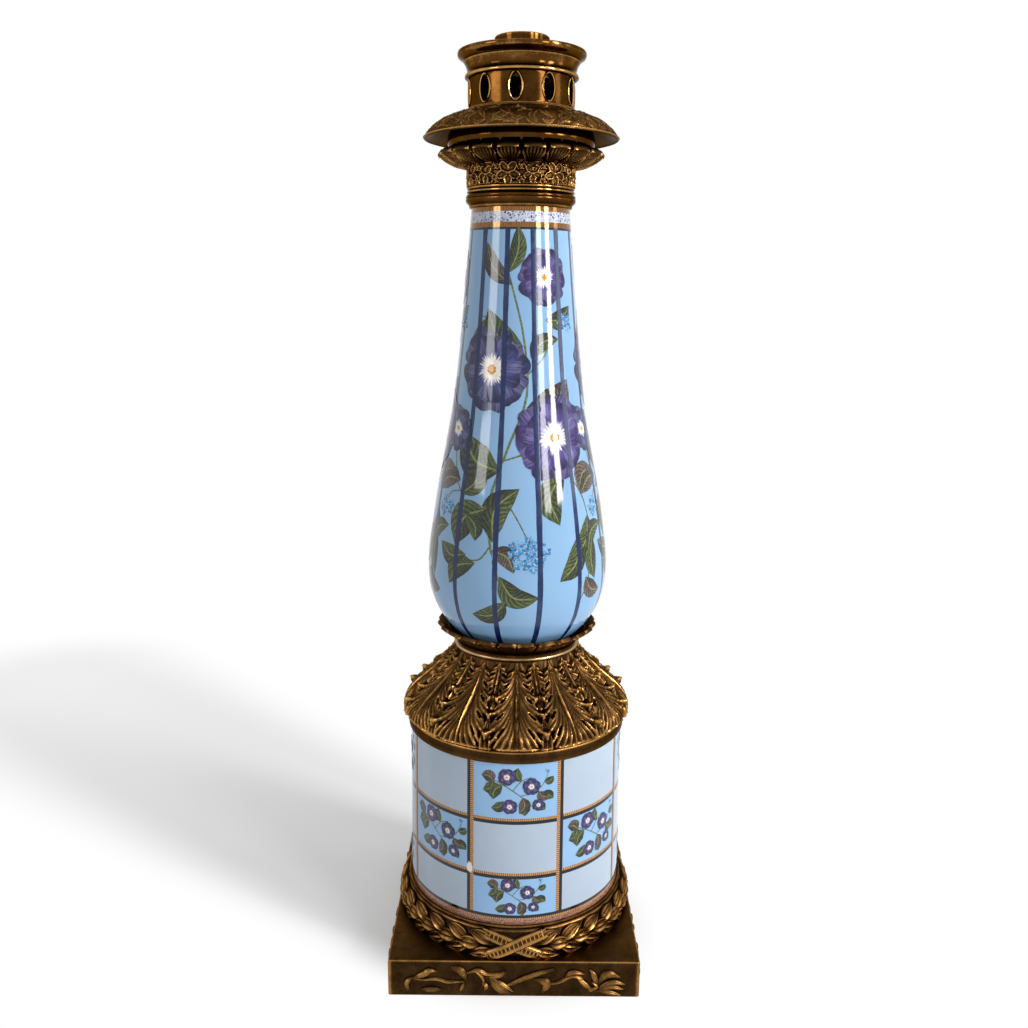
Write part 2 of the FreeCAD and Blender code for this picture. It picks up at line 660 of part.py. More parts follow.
def make_vase():
    """A thin-walled baluster vase, closed at the foot but for the rod's hole."""
    basin = vase_arc(VASE_BASIN_SHARES, VASE_FOOT_RADIUS)
    belly = vase_arc(VASE_BELLY_SHARES, VASE_NECK_RADIUS)
    waist = vase_arc(VASE_WAIST_SHARES, VASE_NECK_RADIUS)
    inside = [belly[2], belly[0], basin[1]]
    inside = [(radius - VASE_WALL, height) for radius, height in inside]
    return turned(
        (ROD_HOLE, VASE_BASE),
        basin,
        belly,
        waist,
        (VASE_NECK_RADIUS, VASE_TOP),
        (NECK_BORE, VASE_TOP),
        (waist[2][0] - VASE_WALL, waist[2][1]),
        *inside,
        (VASE_FOOT_RADIUS - VASE_WALL, VASE_BASE + VASE_FLOOR),
        (ROD_HOLE, VASE_BASE + VASE_FLOOR),
    )


def make_neck_collar():
    """The moulded collar on the neck, with a spigot in the vase and one for the frieze band."""
    spigot = NECK_BORE - SEAT_CLEARANCE
    band = FRIEZE_BORE - SEAT_CLEARANCE
    mouldings = []
    for swell, rise in COLLAR_SHARES:
        radius = VASE_NECK_RADIUS + COLLAR_SWELL * swell
        mouldings.append((radius, COLLAR_BASE + COLLAR_HEIGHT * rise))
    return turned(
        (ROD_HOLE, COLLAR_BASE - COLLAR_SPIGOT_DEPTH),
        (spigot, COLLAR_BASE - COLLAR_SPIGOT_DEPTH),
        (spigot, COLLAR_BASE),
        *mouldings,
        (FRIEZE_RADIUS, FRIEZE_BASE),
        (band, FRIEZE_BASE),
        (band, FRIEZE_BASE + FRIEZE_SPIGOT),
        (ROD_HOLE, FRIEZE_BASE + FRIEZE_SPIGOT),
    )


def make_frieze_band():
    """The drum of the neck that carries the flowered frieze."""
    return turned(
        (FRIEZE_BORE, FRIEZE_BASE), (FRIEZE_RADIUS, FRIEZE_BASE),
        (FRIEZE_RADIUS, LOTUS_BASE), (FRIEZE_BORE, LOTUS_BASE),
    )


def lotus_petal():
    """One hollow-backed petal on the +X side, spreading outward and up."""
    sections = []
    reach = LOTUS_TIP_RADIUS - FRIEZE_RADIUS
    slope = FreeCAD.Vector(reach, 0, LOTUS_TIP_RISE).normalize()
    out = FreeCAD.Vector(slope.z, 0, -slope.x)
    for out_share, rise_share, width_share in LOTUS_PETAL_SHARES:
        radius = FRIEZE_RADIUS + reach * out_share
        height = LOTUS_BASE + LOTUS_THICKNESS + LOTUS_TIP_RISE * rise_share
        centre = FreeCAD.Vector(radius, 0, height)
        half = math.pi * radius / LOTUS_COUNT * width_share
        offsets = [(half * across, LOTUS_THICKNESS * up) for across, up in LOTUS_SECTION_SHARES]
        sections.append((centre, FreeCAD.Vector(0, 1, 0), out, offsets))
    return blade(sections)


def make_lotus_ring():
    """A ring of open petals with a plate across it for the rod."""
    spigot = FRIEZE_BORE - SEAT_CLEARANCE
    body = turned(
        (ROD_HOLE, LOTUS_BASE - FRIEZE_SPIGOT), (spigot, LOTUS_BASE - FRIEZE_SPIGOT),
        (spigot, LOTUS_BASE), (FRIEZE_RADIUS, LOTUS_BASE),
        (FRIEZE_RADIUS + LOTUS_THICKNESS, LOTUS_BASE + LOTUS_THICKNESS),
        (FRIEZE_RADIUS + LOTUS_THICKNESS, SPACER_BASE), (ROD_HOLE, SPACER_BASE),
    )
    half_pitch = FULL_TURN / LOTUS_COUNT / 2
    return joined(body, around(lotus_petal(), LOTUS_COUNT, FRONT + half_pitch))


def make_spacer_ring():
    """The plain rounded ring under the drip pan."""
    foot = FRIEZE_RADIUS + LOTUS_THICKNESS
    swell = []
    for shares, end_radius in ((SPACER_FOOT_SHARES, foot), (SPACER_NECK_SHARES, SPACER_NECK_RADIUS)):
        for across, rise in shares:
            radius = end_radius + (SPACER_RADIUS - end_radius) * across
            swell.append((radius, SPACER_BASE + SPACER_HEIGHT * rise))
    return turned(
        (ROD_HOLE, SPACER_BASE), (foot, SPACER_BASE), *swell,
        (SPACER_NECK_RADIUS, PAN_BASE), (ROD_HOLE, PAN_BASE),
    )


def make_drip_pan():
    """A thin downturned pan with a recess in the middle for the gallery's foot."""
    outside = sloped(PAN_SHARES, GALLERY_BASE_RADIUS, PAN_RADIUS, PAN_TOP, PAN_TOP - PAN_DROP)
    under_middle = (outside[3][0] - PAN_THICKNESS / 2, outside[3][1] - PAN_THICKNESS)
    return turned(
        (ROD_HOLE, PAN_BASE),
        (SPACER_NECK_RADIUS, PAN_BASE),
        under_middle,
        (PAN_RADIUS - PAN_THICKNESS, PAN_TOP - PAN_DROP),
        *outside[::-1],
        (PAN_RECESS_RADIUS, PAN_TOP),
        (PAN_RECESS_RADIUS, PAN_FLOOR_TOP),
        (ROD_HOLE, PAN_FLOOR_TOP),
    )


def upright_oval(width, height, near, far):
    """A many-sided oval bar along +X at the middle height of the gallery wall."""
    middle = (PAN_TOP + GALLERY_BASE_HEIGHT + GALLERY_TOP) / 2
    points = []
    for index in range(WINDOW_SIDES + 1):
        turn = math.radians(FULL_TURN / WINDOW_SIDES * index)
        across = math.cos(turn) * width / 2
        points.append(FreeCAD.Vector(near, across, middle + math.sin(turn) * height / 2))
    return Part.Face(Part.makePolygon(points)).extrude(FreeCAD.Vector(far - near, 0, 0))


def make_gallery():
    """A pierced wall of oval windows with raised rims, on a foot let into the pan."""
    body = turned(
        (ROD_HOLE, PAN_FLOOR_TOP),
        (GALLERY_FOOT_RADIUS, PAN_FLOOR_TOP),
        (GALLERY_FOOT_RADIUS, PAN_TOP),
        (GALLERY_BASE_RADIUS, PAN_TOP),
        (GALLERY_BASE_RADIUS, PAN_TOP + GALLERY_BASE_HEIGHT),
        (GALLERY_RADIUS, PAN_TOP + GALLERY_BASE_HEIGHT),
        (GALLERY_RADIUS, GALLERY_TOP),
        (GALLERY_BORE, GALLERY_TOP),
        (GALLERY_BORE, PAN_TOP + GALLERY_BASE_HEIGHT),
        (GALLERY_FOOT_RADIUS - GALLERY_WALL, PAN_TOP + GALLERY_BASE_HEIGHT),
        (GALLERY_FOOT_RADIUS - GALLERY_WALL, PAN_FLOOR_TOP + GALLERY_FLOOR),
        (ROD_HOLE, PAN_FLOOR_TOP + GALLERY_FLOOR),
    )
    turn = FRONT + WINDOW_TURN
    middle = GALLERY_RADIUS - GALLERY_WALL / 2
    outer = GALLERY_RADIUS + WINDOW_RIM_RELIEF
    rim = upright_oval(WINDOW_WIDTH + 2 * WINDOW_RIM, WINDOW_HEIGHT + 2 * WINDOW_RIM, middle, outer)
    rims = around(rim, WINDOW_COUNT, turn)
    window = upright_oval(WINDOW_WIDTH, WINDOW_HEIGHT, GALLERY_BORE / 2, 2 * GALLERY_RADIUS)
    return joined(body, rims).cut(around(window, WINDOW_COUNT, turn)).Solids[0]


def make_socket_plate():
    """The floor of the cup: a disc with a hole for the nozzle and a spigot down in the gallery."""
    spigot = GALLERY_BORE - SEAT_CLEARANCE
    spigot_base = GALLERY_TOP - SOCKET_PLATE_SPIGOT
    return turned(
        (SOCKET_HOLE, GALLERY_TOP), (spigot - SOCKET_PLATE_SPIGOT_WALL, GALLERY_TOP),
        (spigot - SOCKET_PLATE_SPIGOT_WALL, spigot_base), (spigot, spigot_base),
        (spigot, GALLERY_TOP), (GALLERY_RADIUS, GALLERY_TOP),
        (GALLERY_RADIUS, SOCKET_PLATE_TOP), (SOCKET_HOLE, SOCKET_PLATE_TOP),
    )


def make_cup():
    """The flared cup round the nozzle, stepped inside to sit over the edge of its floor."""
    step = GALLERY_RADIUS + SEAT_CLEARANCE
    bead = CUP_BEAD_RADIUS - CUP_WAIST_RADIUS
    waist_top = GALLERY_TOP + 2 * bead
    lip_base = CUP_TOP - CUP_LIP_HEIGHT
    flare = []
    for across, rise in CUP_FLARE_SHARES:
        radius = CUP_WAIST_RADIUS + (CUP_LIP_RADIUS - CUP_WAIST_RADIUS) * across
        flare.append((radius, waist_top + (lip_base - waist_top) * rise))
    return turned(
        (step, GALLERY_TOP), (CUP_WAIST_RADIUS, GALLERY_TOP),
        (CUP_BEAD_RADIUS, GALLERY_TOP + bead),
        (CUP_WAIST_RADIUS, waist_top),
        *flare,
        (CUP_LIP_RADIUS, lip_base), (CUP_LIP_RADIUS, CUP_TOP),
        (CUP_LIP_RADIUS - CUP_WALL, CUP_TOP),
        (flare[1][0] - CUP_WALL, flare[1][1]),
        (CUP_WAIST_RADIUS - CUP_WALL, SOCKET_PLATE_TOP), (step, SOCKET_PLATE_TOP),
    )


def make_nozzle():
    """The candle socket: a bored tube whose flange rests on the floor of the cup."""
    bore_floor = NOZZLE_TOP - CANDLE_BORE_DEPTH
    flange_top = SOCKET_PLATE_TOP + NOZZLE_FLANGE_THICKNESS
    return turned(
        (0, bore_floor - NOZZLE_FLOOR), (NOZZLE_SHANK_RADIUS, bore_floor - NOZZLE_FLOOR),
        (NOZZLE_SHANK_RADIUS, SOCKET_PLATE_TOP), (NOZZLE_FLANGE_RADIUS, SOCKET_PLATE_TOP),
        (NOZZLE_FLANGE_RADIUS, flange_top), (NOZZLE_RADIUS, flange_top),
        (NOZZLE_RADIUS, NOZZLE_TOP - NOZZLE_CHAMFER),
        (NOZZLE_RADIUS - NOZZLE_CHAMFER, NOZZLE_TOP),
        (CANDLE_BORE_RADIUS, NOZZLE_TOP), (CANDLE_BORE_RADIUS, bore_floor), (0, bore_floor),
    )


def make_tie_rod():
    return rod(ROD_RADIUS, ROD_BOTTOM, ROD_TOP)


def washer(radius, bottom):
    return rod(radius, bottom, bottom + WASHER_THICKNESS).cut(
        rod(ROD_HOLE, bottom - OVERRUN, bottom + WASHER_THICKNESS + OVERRUN))


def nut(bottom):
    """A six-sided nut whose thread closes on the rod."""
    corner_radius = NUT_ACROSS_FLATS / 2 / math.cos(math.pi / HEX_SIDES)
    points = [at(corner_radius, FULL_TURN / HEX_SIDES * n, bottom) for n in range(HEX_SIDES + 1)]
    block = Part.Face(Part.makePolygon(points)).extrude(FreeCAD.Vector(0, 0, NUT_HEIGHT))
    return block.cut(rod(ROD_RADIUS, bottom - OVERRUN, bottom + NUT_HEIGHT + OVERRUN))


PIECES = {
    "plinth": make_plinth(),
    "laurel_ring": make_laurel_ring(),
    "drum_foot_felt": make_drum_felt(),
    "drum": make_drum(),
    "acanthus_cap": make_acanthus_cap(),
    "seat_ring": make_seat_ring(),
    "calyx": make_calyx(),
    "vase_foot_felt": make_vase_felt(),
    "vase": make_vase(),
    "neck_collar": make_neck_collar(),
    "frieze_band": make_frieze_band(),
    "lotus_ring": make_lotus_ring(),
    "spacer_ring": make_spacer_ring(),
    "drip_pan": make_drip_pan(),
    "gallery": make_gallery(),
    "socket_plate": make_socket_plate(),
    "cup": make_cup(),
    "nozzle": make_nozzle(),
    "tie_rod": make_tie_rod(),
    "base_washer": washer(BASE_WASHER_RADIUS, PLATE_UNDERSIDE - WASHER_THICKNESS),
    "base_nut": nut(PLATE_UNDERSIDE - WASHER_THICKNESS - NUT_HEIGHT),
    "top_washer": washer(TOP_WASHER_RADIUS, GALLERY_FLOOR_TOP),
    "top_nut": nut(GALLERY_FLOOR_TOP + WASHER_THICKNESS),
}

os.makedirs("parts", exist_ok=True)
for name, piece in PIECES.items():
    piece.exportStep("parts/" + name + ".step")
    print(name, "valid" if piece.isValid() else "INVALID", len(piece.Solids), round(piece.Volume))
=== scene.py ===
import math

import bpy
import bmesh
import numpy as np
from mathutils import Matrix, Vector


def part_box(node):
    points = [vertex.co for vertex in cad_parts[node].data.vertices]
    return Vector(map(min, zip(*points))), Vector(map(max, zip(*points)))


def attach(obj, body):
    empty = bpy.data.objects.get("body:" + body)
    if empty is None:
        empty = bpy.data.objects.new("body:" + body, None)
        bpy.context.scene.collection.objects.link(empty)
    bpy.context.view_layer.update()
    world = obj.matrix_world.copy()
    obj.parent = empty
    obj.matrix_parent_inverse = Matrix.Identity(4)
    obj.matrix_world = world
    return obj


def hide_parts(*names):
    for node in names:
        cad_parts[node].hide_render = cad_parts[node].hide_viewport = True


# The looks of a tall candle holder: antique bronze mounts round a painted porcelain drum and vase.
# Sizes are millimetres until a mesh is made. The front faces -Y.

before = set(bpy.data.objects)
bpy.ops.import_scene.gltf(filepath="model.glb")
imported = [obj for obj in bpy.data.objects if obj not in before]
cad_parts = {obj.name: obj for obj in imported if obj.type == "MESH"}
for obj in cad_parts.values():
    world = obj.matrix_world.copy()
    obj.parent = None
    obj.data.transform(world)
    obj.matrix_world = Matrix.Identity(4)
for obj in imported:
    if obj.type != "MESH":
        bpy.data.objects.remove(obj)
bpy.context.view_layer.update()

MM = 0.001
FULL_TURN = 2 * math.pi
FRONT = -math.pi / 2
BODY = "stand"

# how finely round things and carved strokes are divided
PORCELAIN_SIDES = 256
BRONZE_SIDES = 192
STROKE_POINTS = 22
# distance to a stroke, in its half widths, where it doesn't reach
FAR_OFF = 9.0
# corners closer than this become one
SEAM_GAP = 0.002


def span(node):
    """Greatest half width, bottom and top of a CAD node, in millimetres."""
    low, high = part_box(node)
    return high.x / MM, low.z / MM, high.z / MM


def smooth(points, count):
    """Evenly shared samples of a smooth line through some points."""
    points = np.asarray(points, float)
    if len(points) < 3:
        share = np.linspace(0, 1, count).reshape(-1, *([1] * (points.ndim - 1)))
        return points[0] * (1 - share) + points[-1] * share
    padded = np.concatenate([[2 * points[0] - points[1]], points, [2 * points[-1] - points[-2]]])
    spot = np.linspace(0, len(points) - 1, count)
    index = np.minimum(spot.astype(int), len(points) - 2)
    t = spot - index
    if points.ndim > 1:
        t = t[:, None]
    a, b, c, d = (padded[index + k] for k in range(4))
    return 0.5 * (
        2 * b + (c - a) * t + (2 * a - 5 * b + 4 * c - d) * t ** 2 + (3 * b - a - 3 * c + d) * t ** 3
    )


def shared_line(shares, inner, outer, low, high):
    """Points from shares of the way out and shares of the way up."""
    return [(inner + (outer - inner) * out, low + (high - low) * up) for out, up in shares]


def polar(radius, turn, height):
    """Corners from distances to the axis, turns about it and heights."""
    return np.stack(np.broadcast_arrays(radius * np.cos(turn), radius * np.sin(turn), height), axis=-1)


def about_axis(points, turn):
    """Points turned about the axis."""
    c, s = math.cos(turn), math.sin(turn)
    return points @ np.array([[c, s, 0], [-s, c, 0], [0, 0, 1]])


class Shape:
    """A closed form: corners, faces, relief (0 hollow, 1 rubbed), paint coordinates and tint."""

    def __init__(self, points, faces, relief, paint=None, tint=0.5):
        self.points = np.asarray(points, float)
        self.faces = np.asarray(faces, int)
        self.relief = np.broadcast_to(np.asarray(relief, float), len(self.points))
        self.paint = np.zeros((len(self.points), 2)) if paint is None else np.asarray(paint, float)
        self.tint = np.broadcast_to(np.asarray(tint, float), len(self.points))


def together(shapes):
    """Several forms as one."""
    start = 0
    faces = []
    for shape in shapes:
        faces.append(shape.faces + start)
        start += len(shape.points)
    points, relief, paint, tint = (
        np.concatenate([getattr(shape, part) for shape in shapes])
        for part in ("points", "relief", "paint", "tint")
    )
    return Shape(points, np.concatenate(faces), relief, paint, tint)


def net(rows, columns, closed_rows=False, closed_columns=False):
    """Faces of a net of corners numbered row by row."""
    row = np.arange(rows if closed_rows else rows - 1)[:, None]
    column = np.arange(columns if closed_columns else columns - 1)[None, :]
    next_row = (row + 1) % rows
    next_column = (column + 1) % columns
    corners = (
        row * columns + column, row * columns + next_column,
        next_row * columns + next_column, next_row * columns + column,
    )
    return np.stack(np.broadcast_arrays(*corners), axis=-1).reshape(-1, 4)


def lathe(line, relief=0.5, sides=BRONZE_SIDES):
    """A closed ring turned from a closed line of (radius, height) points, given anticlockwise."""
    line = np.asarray(line, float)
    turn = FRONT + FULL_TURN / sides * np.arange(sides)
    points = polar(line[:, :1], turn, line[:, 1:])
    relief = np.broadcast_to(np.asarray(relief, float), len(line))
    return Shape(points.reshape(-1, 3), net(len(line), sides, True, True), np.repeat(relief, sides))


class Turned:
    """The outside of a turned piece as a ground to lay things on, measured down from its top."""

    def __init__(self, line):
        self.line = np.asarray(line, float)
        steps = np.hypot(*np.diff(self.line, axis=0).T)
        self.along = np.concatenate([[0], np.cumsum(steps)])
        self.length = self.along[-1]
        run = np.gradient(self.line, self.along, axis=0)
        run /= np.linalg.norm(run, axis=1)[:, None]
        self.out = np.stack([-run[:, 1], run[:, 0]], axis=-1)

    def radius(self, along):
        """Distance to the axis at places along the ground."""
        return np.interp(along, self.along, self.line[:, 0])

    def place(self, turn, across, along, lift):
        """Corners from distances across and along the ground and above it, about one turn."""
        radius = self.radius(along)
        height = np.interp(along, self.along, self.line[:, 1])
        out_radius = np.interp(along, self.along, self.out[:, 0])
        out_height = np.interp(along, self.along, self.out[:, 1])
        return polar(radius + out_radius * lift, turn + across / radius, height + out_height * lift)


class Flat:
    """The front side of the plinth as a ground, measured down from its top edge."""

    def __init__(self, distance, top):
        self.distance = distance
        self.top = top

    def place(self, turn, across, along, lift):
        """Corners from distances across and along the side and off it, on the side at one turn."""
        return about_axis(np.stack([across, -(self.distance + lift), self.top - along], axis=-1), turn)


def blade(ground, turn, path, widths, lifts, crown, rows, relief=(0.2, 1.0), sink=0.6,
          reach=None, tint=0.5):
    """A closed leaf, petal, stem or band on a ground.

    The path is its middle line as (across, along) points. Widths are half widths and lifts the
    heights of its edges, both along the path. The crown gives heights across it, edge to edge.
    Relief runs from its lowest to its highest corner. It sinks into the ground by a depth, and
    reach shortens it column by column.
    """
    columns = len(crown)
    centre = smooth(path, rows)
    run = np.gradient(centre, axis=0)
    run /= np.linalg.norm(run, axis=1)[:, None]
    side = np.stack([-run[:, 1], run[:, 0]], axis=-1)
    share = np.linspace(-1, 1, columns)
    width = np.maximum(smooth(np.asarray(widths, float), rows), 0.01)
    lift = smooth(np.asarray(lifts, float), rows)
    fullness = np.sqrt(np.minimum(width / width.max(), 1))
    spot = centre[:, None, :] + side[:, None, :] * (share[None, :, None] * width[:, None, None])
    if reach is not None:
        spot = spot[:1] + (spot - spot[:1]) * np.asarray(reach, float)[None, :, None]
    height = lift[:, None] + np.asarray(crown, float)[None, :] * fullness[:, None]
    top = ground.place(turn, spot[..., 0], spot[..., 1], height)
    under = ground.place(turn, spot[..., 0], spot[..., 1], np.minimum(height - 0.05, -sink))
    points = np.concatenate([top.reshape(-1, 3), under.reshape(-1, 3)])
    upper = net(rows, columns)
    lower = upper[:, ::-1] + rows * columns
    edge = np.concatenate([
        np.arange(columns), np.arange(1, rows) * columns + columns - 1,
        (rows - 1) * columns + np.arange(columns - 2, -1, -1), np.arange(rows - 2, 0, -1) * columns,
    ])
    following = np.roll(edge, -1)
    rim = np.stack([following, edge, edge + rows * columns, following + rows * columns], axis=-1)
    spread = (height - height.min()) / max(np.ptp(height), 1e-6)
    tone = relief[0] + (relief[1] - relief[0]) * spread
    tones = np.concatenate([tone.ravel(), np.full(rows * columns, relief[0])])
    u, v = np.meshgrid((share + 1) / 2, np.linspace(0, 1, rows))
    paint = np.stack([u.ravel(), v.ravel()], axis=-1)
    faces = np.concatenate([upper, lower, rim])
    return Shape(points, faces, tones, np.concatenate([paint, paint]), tint)


# Profiles of a raised stroke, from its middle line (0) to its edge (1)


def dome(q):
    """Rounded like half a pipe."""
    return np.sqrt(np.clip(1 - q * q, 0, 1))


def roof(q):
    """Sloped both ways from a ridge."""
    return np.clip(1 - q, 0, 1)


def slab(q):
    """Flat, with edges soon rounded off."""
    return np.clip(1 - q ** 6, 0, 1)


def rimmed(q):
    """Hollow, with a raised rim."""
    return np.where(q < 1, 0.35 + 0.65 * np.exp(-((q - 0.74) / 0.20) ** 2), 0)


class Carving:
    """Raised work over one repeat round a turned ground, as lifts on a net of points."""

    def __init__(self, ground, pitch, columns, rows):
        self.ground = ground
        self.angle = np.linspace(-pitch / 2, pitch / 2, columns + 1)
        self.along = np.linspace(0, ground.length, rows)
        self.radius = ground.radius(self.along)[:, None]
        self.pitch = pitch
        self.shape = (rows, columns + 1)
        self.detail = np.zeros(self.shape)
        self.cover = np.zeros(self.shape)

    def reach(self, path, widths, heights, centre):
        """Distance to a stroke in its half widths, and the stroke's height at the nearest spot."""
        line = smooth(path, STROKE_POINTS)
        width = np.maximum(smooth(widths, STROKE_POINTS), 0.05)
        best = np.full(self.shape, FAR_OFF)
        share = np.zeros(self.shape)
        edge = 1.4 * width.max()
        for shift in (-1, 0, 1):
            across = (self.angle[None, :] - centre - shift * self.pitch) * self.radius
            along = np.broadcast_to(self.along[:, None], self.shape)
            near = (
                (across > line[:, 0].min() - edge) & (across < line[:, 0].max() + edge)
                & (along > line[:, 1].min() - edge) & (along < line[:, 1].max() + edge)
            )
            if not near.any():
                continue
            spot = np.stack([across[near], along[near]], axis=-1)[:, None, :]
            start, run = line[None, :-1], np.diff(line, axis=0)[None]
            part = np.clip(((spot - start) * run).sum(-1) / (run ** 2).sum(-1), 0, 1)
            gap = np.linalg.norm(spot - start - run * part[..., None], axis=-1)
            local = width[:-1] + np.diff(width) * part
            q = gap / local
            pick = q.argmin(axis=1)
            rows = np.arange(len(pick))
            better = q[rows, pick] < best[near]
            index = np.flatnonzero(near)[better]
            best.flat[index] = q[rows, pick][better]
            share.flat[index] = ((pick + part[rows, pick]) / (len(line) - 1))[better]
        return best, np.interp(share, np.linspace(0, 1, len(heights)), heights)

    def mound(self, path, widths, heights, centre=0.0, profile=dome, carries=True):
        """A stroke that stands over the ground, or over what lies lower than it."""
        q, height = self.reach(path, widths, heights, centre)
        self.detail = np.where(q < 1, np.maximum(self.detail, height * profile(q)), self.detail)
        if carries:
            self.cover = np.maximum(self.cover, np.clip((1.3 - q) / 0.4, 0, 1))

    def add(self, path, widths, heights, centre=0.0, profile=roof):
        """A stroke added to whatever is there, up or down."""
        q, height = self.reach(path, widths, heights, centre)
        self.detail = self.detail + np.where(q < 1, height * profile(q), 0)

    def hollow(self, path, widths, depth, centre):
        """A smooth pit down to a depth."""
        q, depth = self.reach(path, widths, [depth], centre)
        keep = np.clip(q, 0, 1) ** 2
        self.detail = np.where(q < 1, self.detail * keep + depth * (1 - keep), self.detail)

    def lift(self, swell=None):
        """Whole lift: what is carried follows the swell along the ground."""
        lift = self.detail.copy()
        if swell is not None:
            bulge = np.interp(self.along, np.linspace(0, self.along[-1], len(swell)), swell)
            lift += self.cover * bulge[:, None]
        return lift

    def tones(self, lift, rounds, gain, base):
        """Rubbed crests and dark hollows, from how far each point stands over those round it."""
        soft = lift.copy()
        for _ in range(rounds):
            core = soft[:, :-1]
            core = (np.roll(core, 1, axis=1) + 2 * core + np.roll(core, -1, axis=1)) / 4
            soft = np.concatenate([core, core[:, :1]], axis=1)
            soft = np.concatenate([soft[:1], (soft[:-2] + 2 * soft[1:-1] + soft[2:]) / 4, soft[-1:]])
        return np.clip(base + gain * (lift - soft), 0, 1.15)

    def cell(self, lift, tones, closing, closing_tones):
        """One closed repeat: the carved outside, then a closing line from its top to its foot."""
        across = self.angle[None, :] * self.radius
        along = np.broadcast_to(self.along[:, None], self.shape)
        outer = self.ground.place(FRONT, across, along, lift)
        inner = [polar(radius, FRONT + self.angle, height) for radius, height in closing]
        inner_tones = np.repeat(np.array(closing_tones)[:, None], self.shape[1], axis=1)
        return self.closed(outer, tones, inner, inner_tones)

    def shell(self, lift, tones, wall, dips, inner_tone):
        """One closed repeat of a thin wall, whose upper edge dips column by column."""
        fade = np.linspace(1, 0, self.shape[0])[:, None]
        along = self.along[:, None] + fade * np.asarray(dips, float)[None, :]
        across = self.angle[None, :] * self.ground.radius(along)
        outer = self.ground.place(FRONT, across, along, lift)
        inner = self.ground.place(FRONT, across, along, np.full(self.shape, -wall))[::3]
        return self.closed(outer, tones, inner, np.full(inner.shape[:2], inner_tone))

    def closed(self, outer, tones, inner, inner_tones):
        """The outside from its foot up and the inside from its top down, as one closed form."""
        points = np.concatenate([outer[::-1], inner])
        tone = np.concatenate([tones[::-1], inner_tones])
        faces = net(len(points), self.shape[1], True, False)
        return Shape(points.reshape(-1, 3), faces, tone.ravel())


def mesh_of(name, shape):
    """A Blender mesh from a form, in metres, with its doubles merged."""
    mesh = bpy.data.meshes.new(name)
    mesh.from_pydata((shape.points * MM).tolist(), [], shape.faces.tolist())
    for label, values in (("relief", shape.relief), ("tint", shape.tint)):
        attribute = mesh.attributes.new(label, "FLOAT", "POINT")
        attribute.data.foreach_set("value", np.ascontiguousarray(values, np.float32))
    layer = mesh.uv_layers.new(name="paint")
    corners = np.zeros(len(mesh.loops), int)
    mesh.loops.foreach_get("vertex_index", corners)
    layer.data.foreach_set("uv", shape.paint[corners].astype(np.float32).ravel())
    work = bmesh.new()
    work.from_mesh(mesh)
    bmesh.ops.remove_doubles(work, verts=work.verts, dist=SEAM_GAP * MM)
    bmesh.ops.delete(work, geom=[edge for edge in work.edges if not edge.link_faces], context="EDGES")
    work.to_mesh(mesh)
    work.free()
    return mesh


class Term:
    """A number that a node gives out, to reckon with."""

    def __init__(self, paint, socket):
        self.paint = paint
        self.socket = socket

    def __add__(self, other):
        return self.paint.math("ADD", self, other)

    def __sub__(self, other):
        return self.paint.math("SUBTRACT", self, other)

    def __rsub__(self, other):
        return self.paint.math("SUBTRACT", other, self)

    def __mul__(self, other):
        return self.paint.math("MULTIPLY", self, other)

    def __truediv__(self, other):
        return self.paint.math("DIVIDE", self, other)

    def __abs__(self):
        return self.paint.math("ABSOLUTE", self)


def put(tree, entry, value):
    """Links a term, a node's first output or a socket to an input, or sets the input to a value."""
    if isinstance(value, Term):
        value = value.socket
    if isinstance(value, bpy.types.Node):
        value = value.outputs[0]
    if isinstance(value, bpy.types.NodeSocket):
        tree.links.new(value, entry)
    else:
        entry.default_value = value


def new_node(tree, kind, inputs=(), **settings):
    """A node with its settings made, and its inputs filled by name or one after another."""
    node = tree.nodes.new(kind)
    for key, value in settings.items():
        setattr(node, key, value)
    for key, value in inputs.items() if isinstance(inputs, dict) else enumerate(inputs):
        put(tree, node.inputs[key], value)
    return node


def ring_tree():
    """Geometry nodes that stand copies of a shape in a ring and join them to a ground."""
    tree = bpy.data.node_groups.new("ring of copies", "GeometryNodeTree")
    tree.is_modifier = True
    names = {}
    for name, kind in (
        ("Geometry", "Geometry"), ("Count", "Int"), ("First Turn", "Float"), ("Pitch", "Float"),
        ("Ground", "Object"), ("Material", "Material"),
    ):
        entry = tree.interface.new_socket(name=name, in_out="INPUT", socket_type="NodeSocket" + kind)
        names[name] = entry.identifier
    tree.interface.new_socket(name="Geometry", in_out="OUTPUT", socket_type="NodeSocketGeometry")
    given = tree.nodes.new("NodeGroupInput").outputs
    points = new_node(tree, "GeometryNodePoints", {"Count": given["Count"]})
    index = new_node(tree, "GeometryNodeInputIndex")
    turn = new_node(
        tree, "ShaderNodeMath", (index, given["Pitch"], given["First Turn"]), operation="MULTIPLY_ADD")
    upright = new_node(tree, "ShaderNodeCombineXYZ", {"Z": turn})
    rotation = new_node(tree, "FunctionNodeEulerToRotation", [upright])
    copies = new_node(tree, "GeometryNodeInstanceOnPoints", {
        "Points": points, "Instance": given["Geometry"], "Rotation": rotation})
    real = new_node(tree, "GeometryNodeRealizeInstances", [copies])
    seams = new_node(tree, "GeometryNodeMergeByDistance", {"Geometry": real, "Distance": SEAM_GAP * MM})
    ground = new_node(tree, "GeometryNodeObjectInfo", {"Object": given["Ground"]})
    joined = new_node(tree, "GeometryNodeJoinGeometry", [seams])
    put(tree, joined.inputs[0], ground.outputs["Geometry"])
    finish = new_node(
        tree, "GeometryNodeSetMaterial", {"Geometry": joined, "Material": given["Material"]})
    new_node(tree, "NodeGroupOutput", [finish])
    return tree, names


RING_TREE, RING_INPUTS = ring_tree()


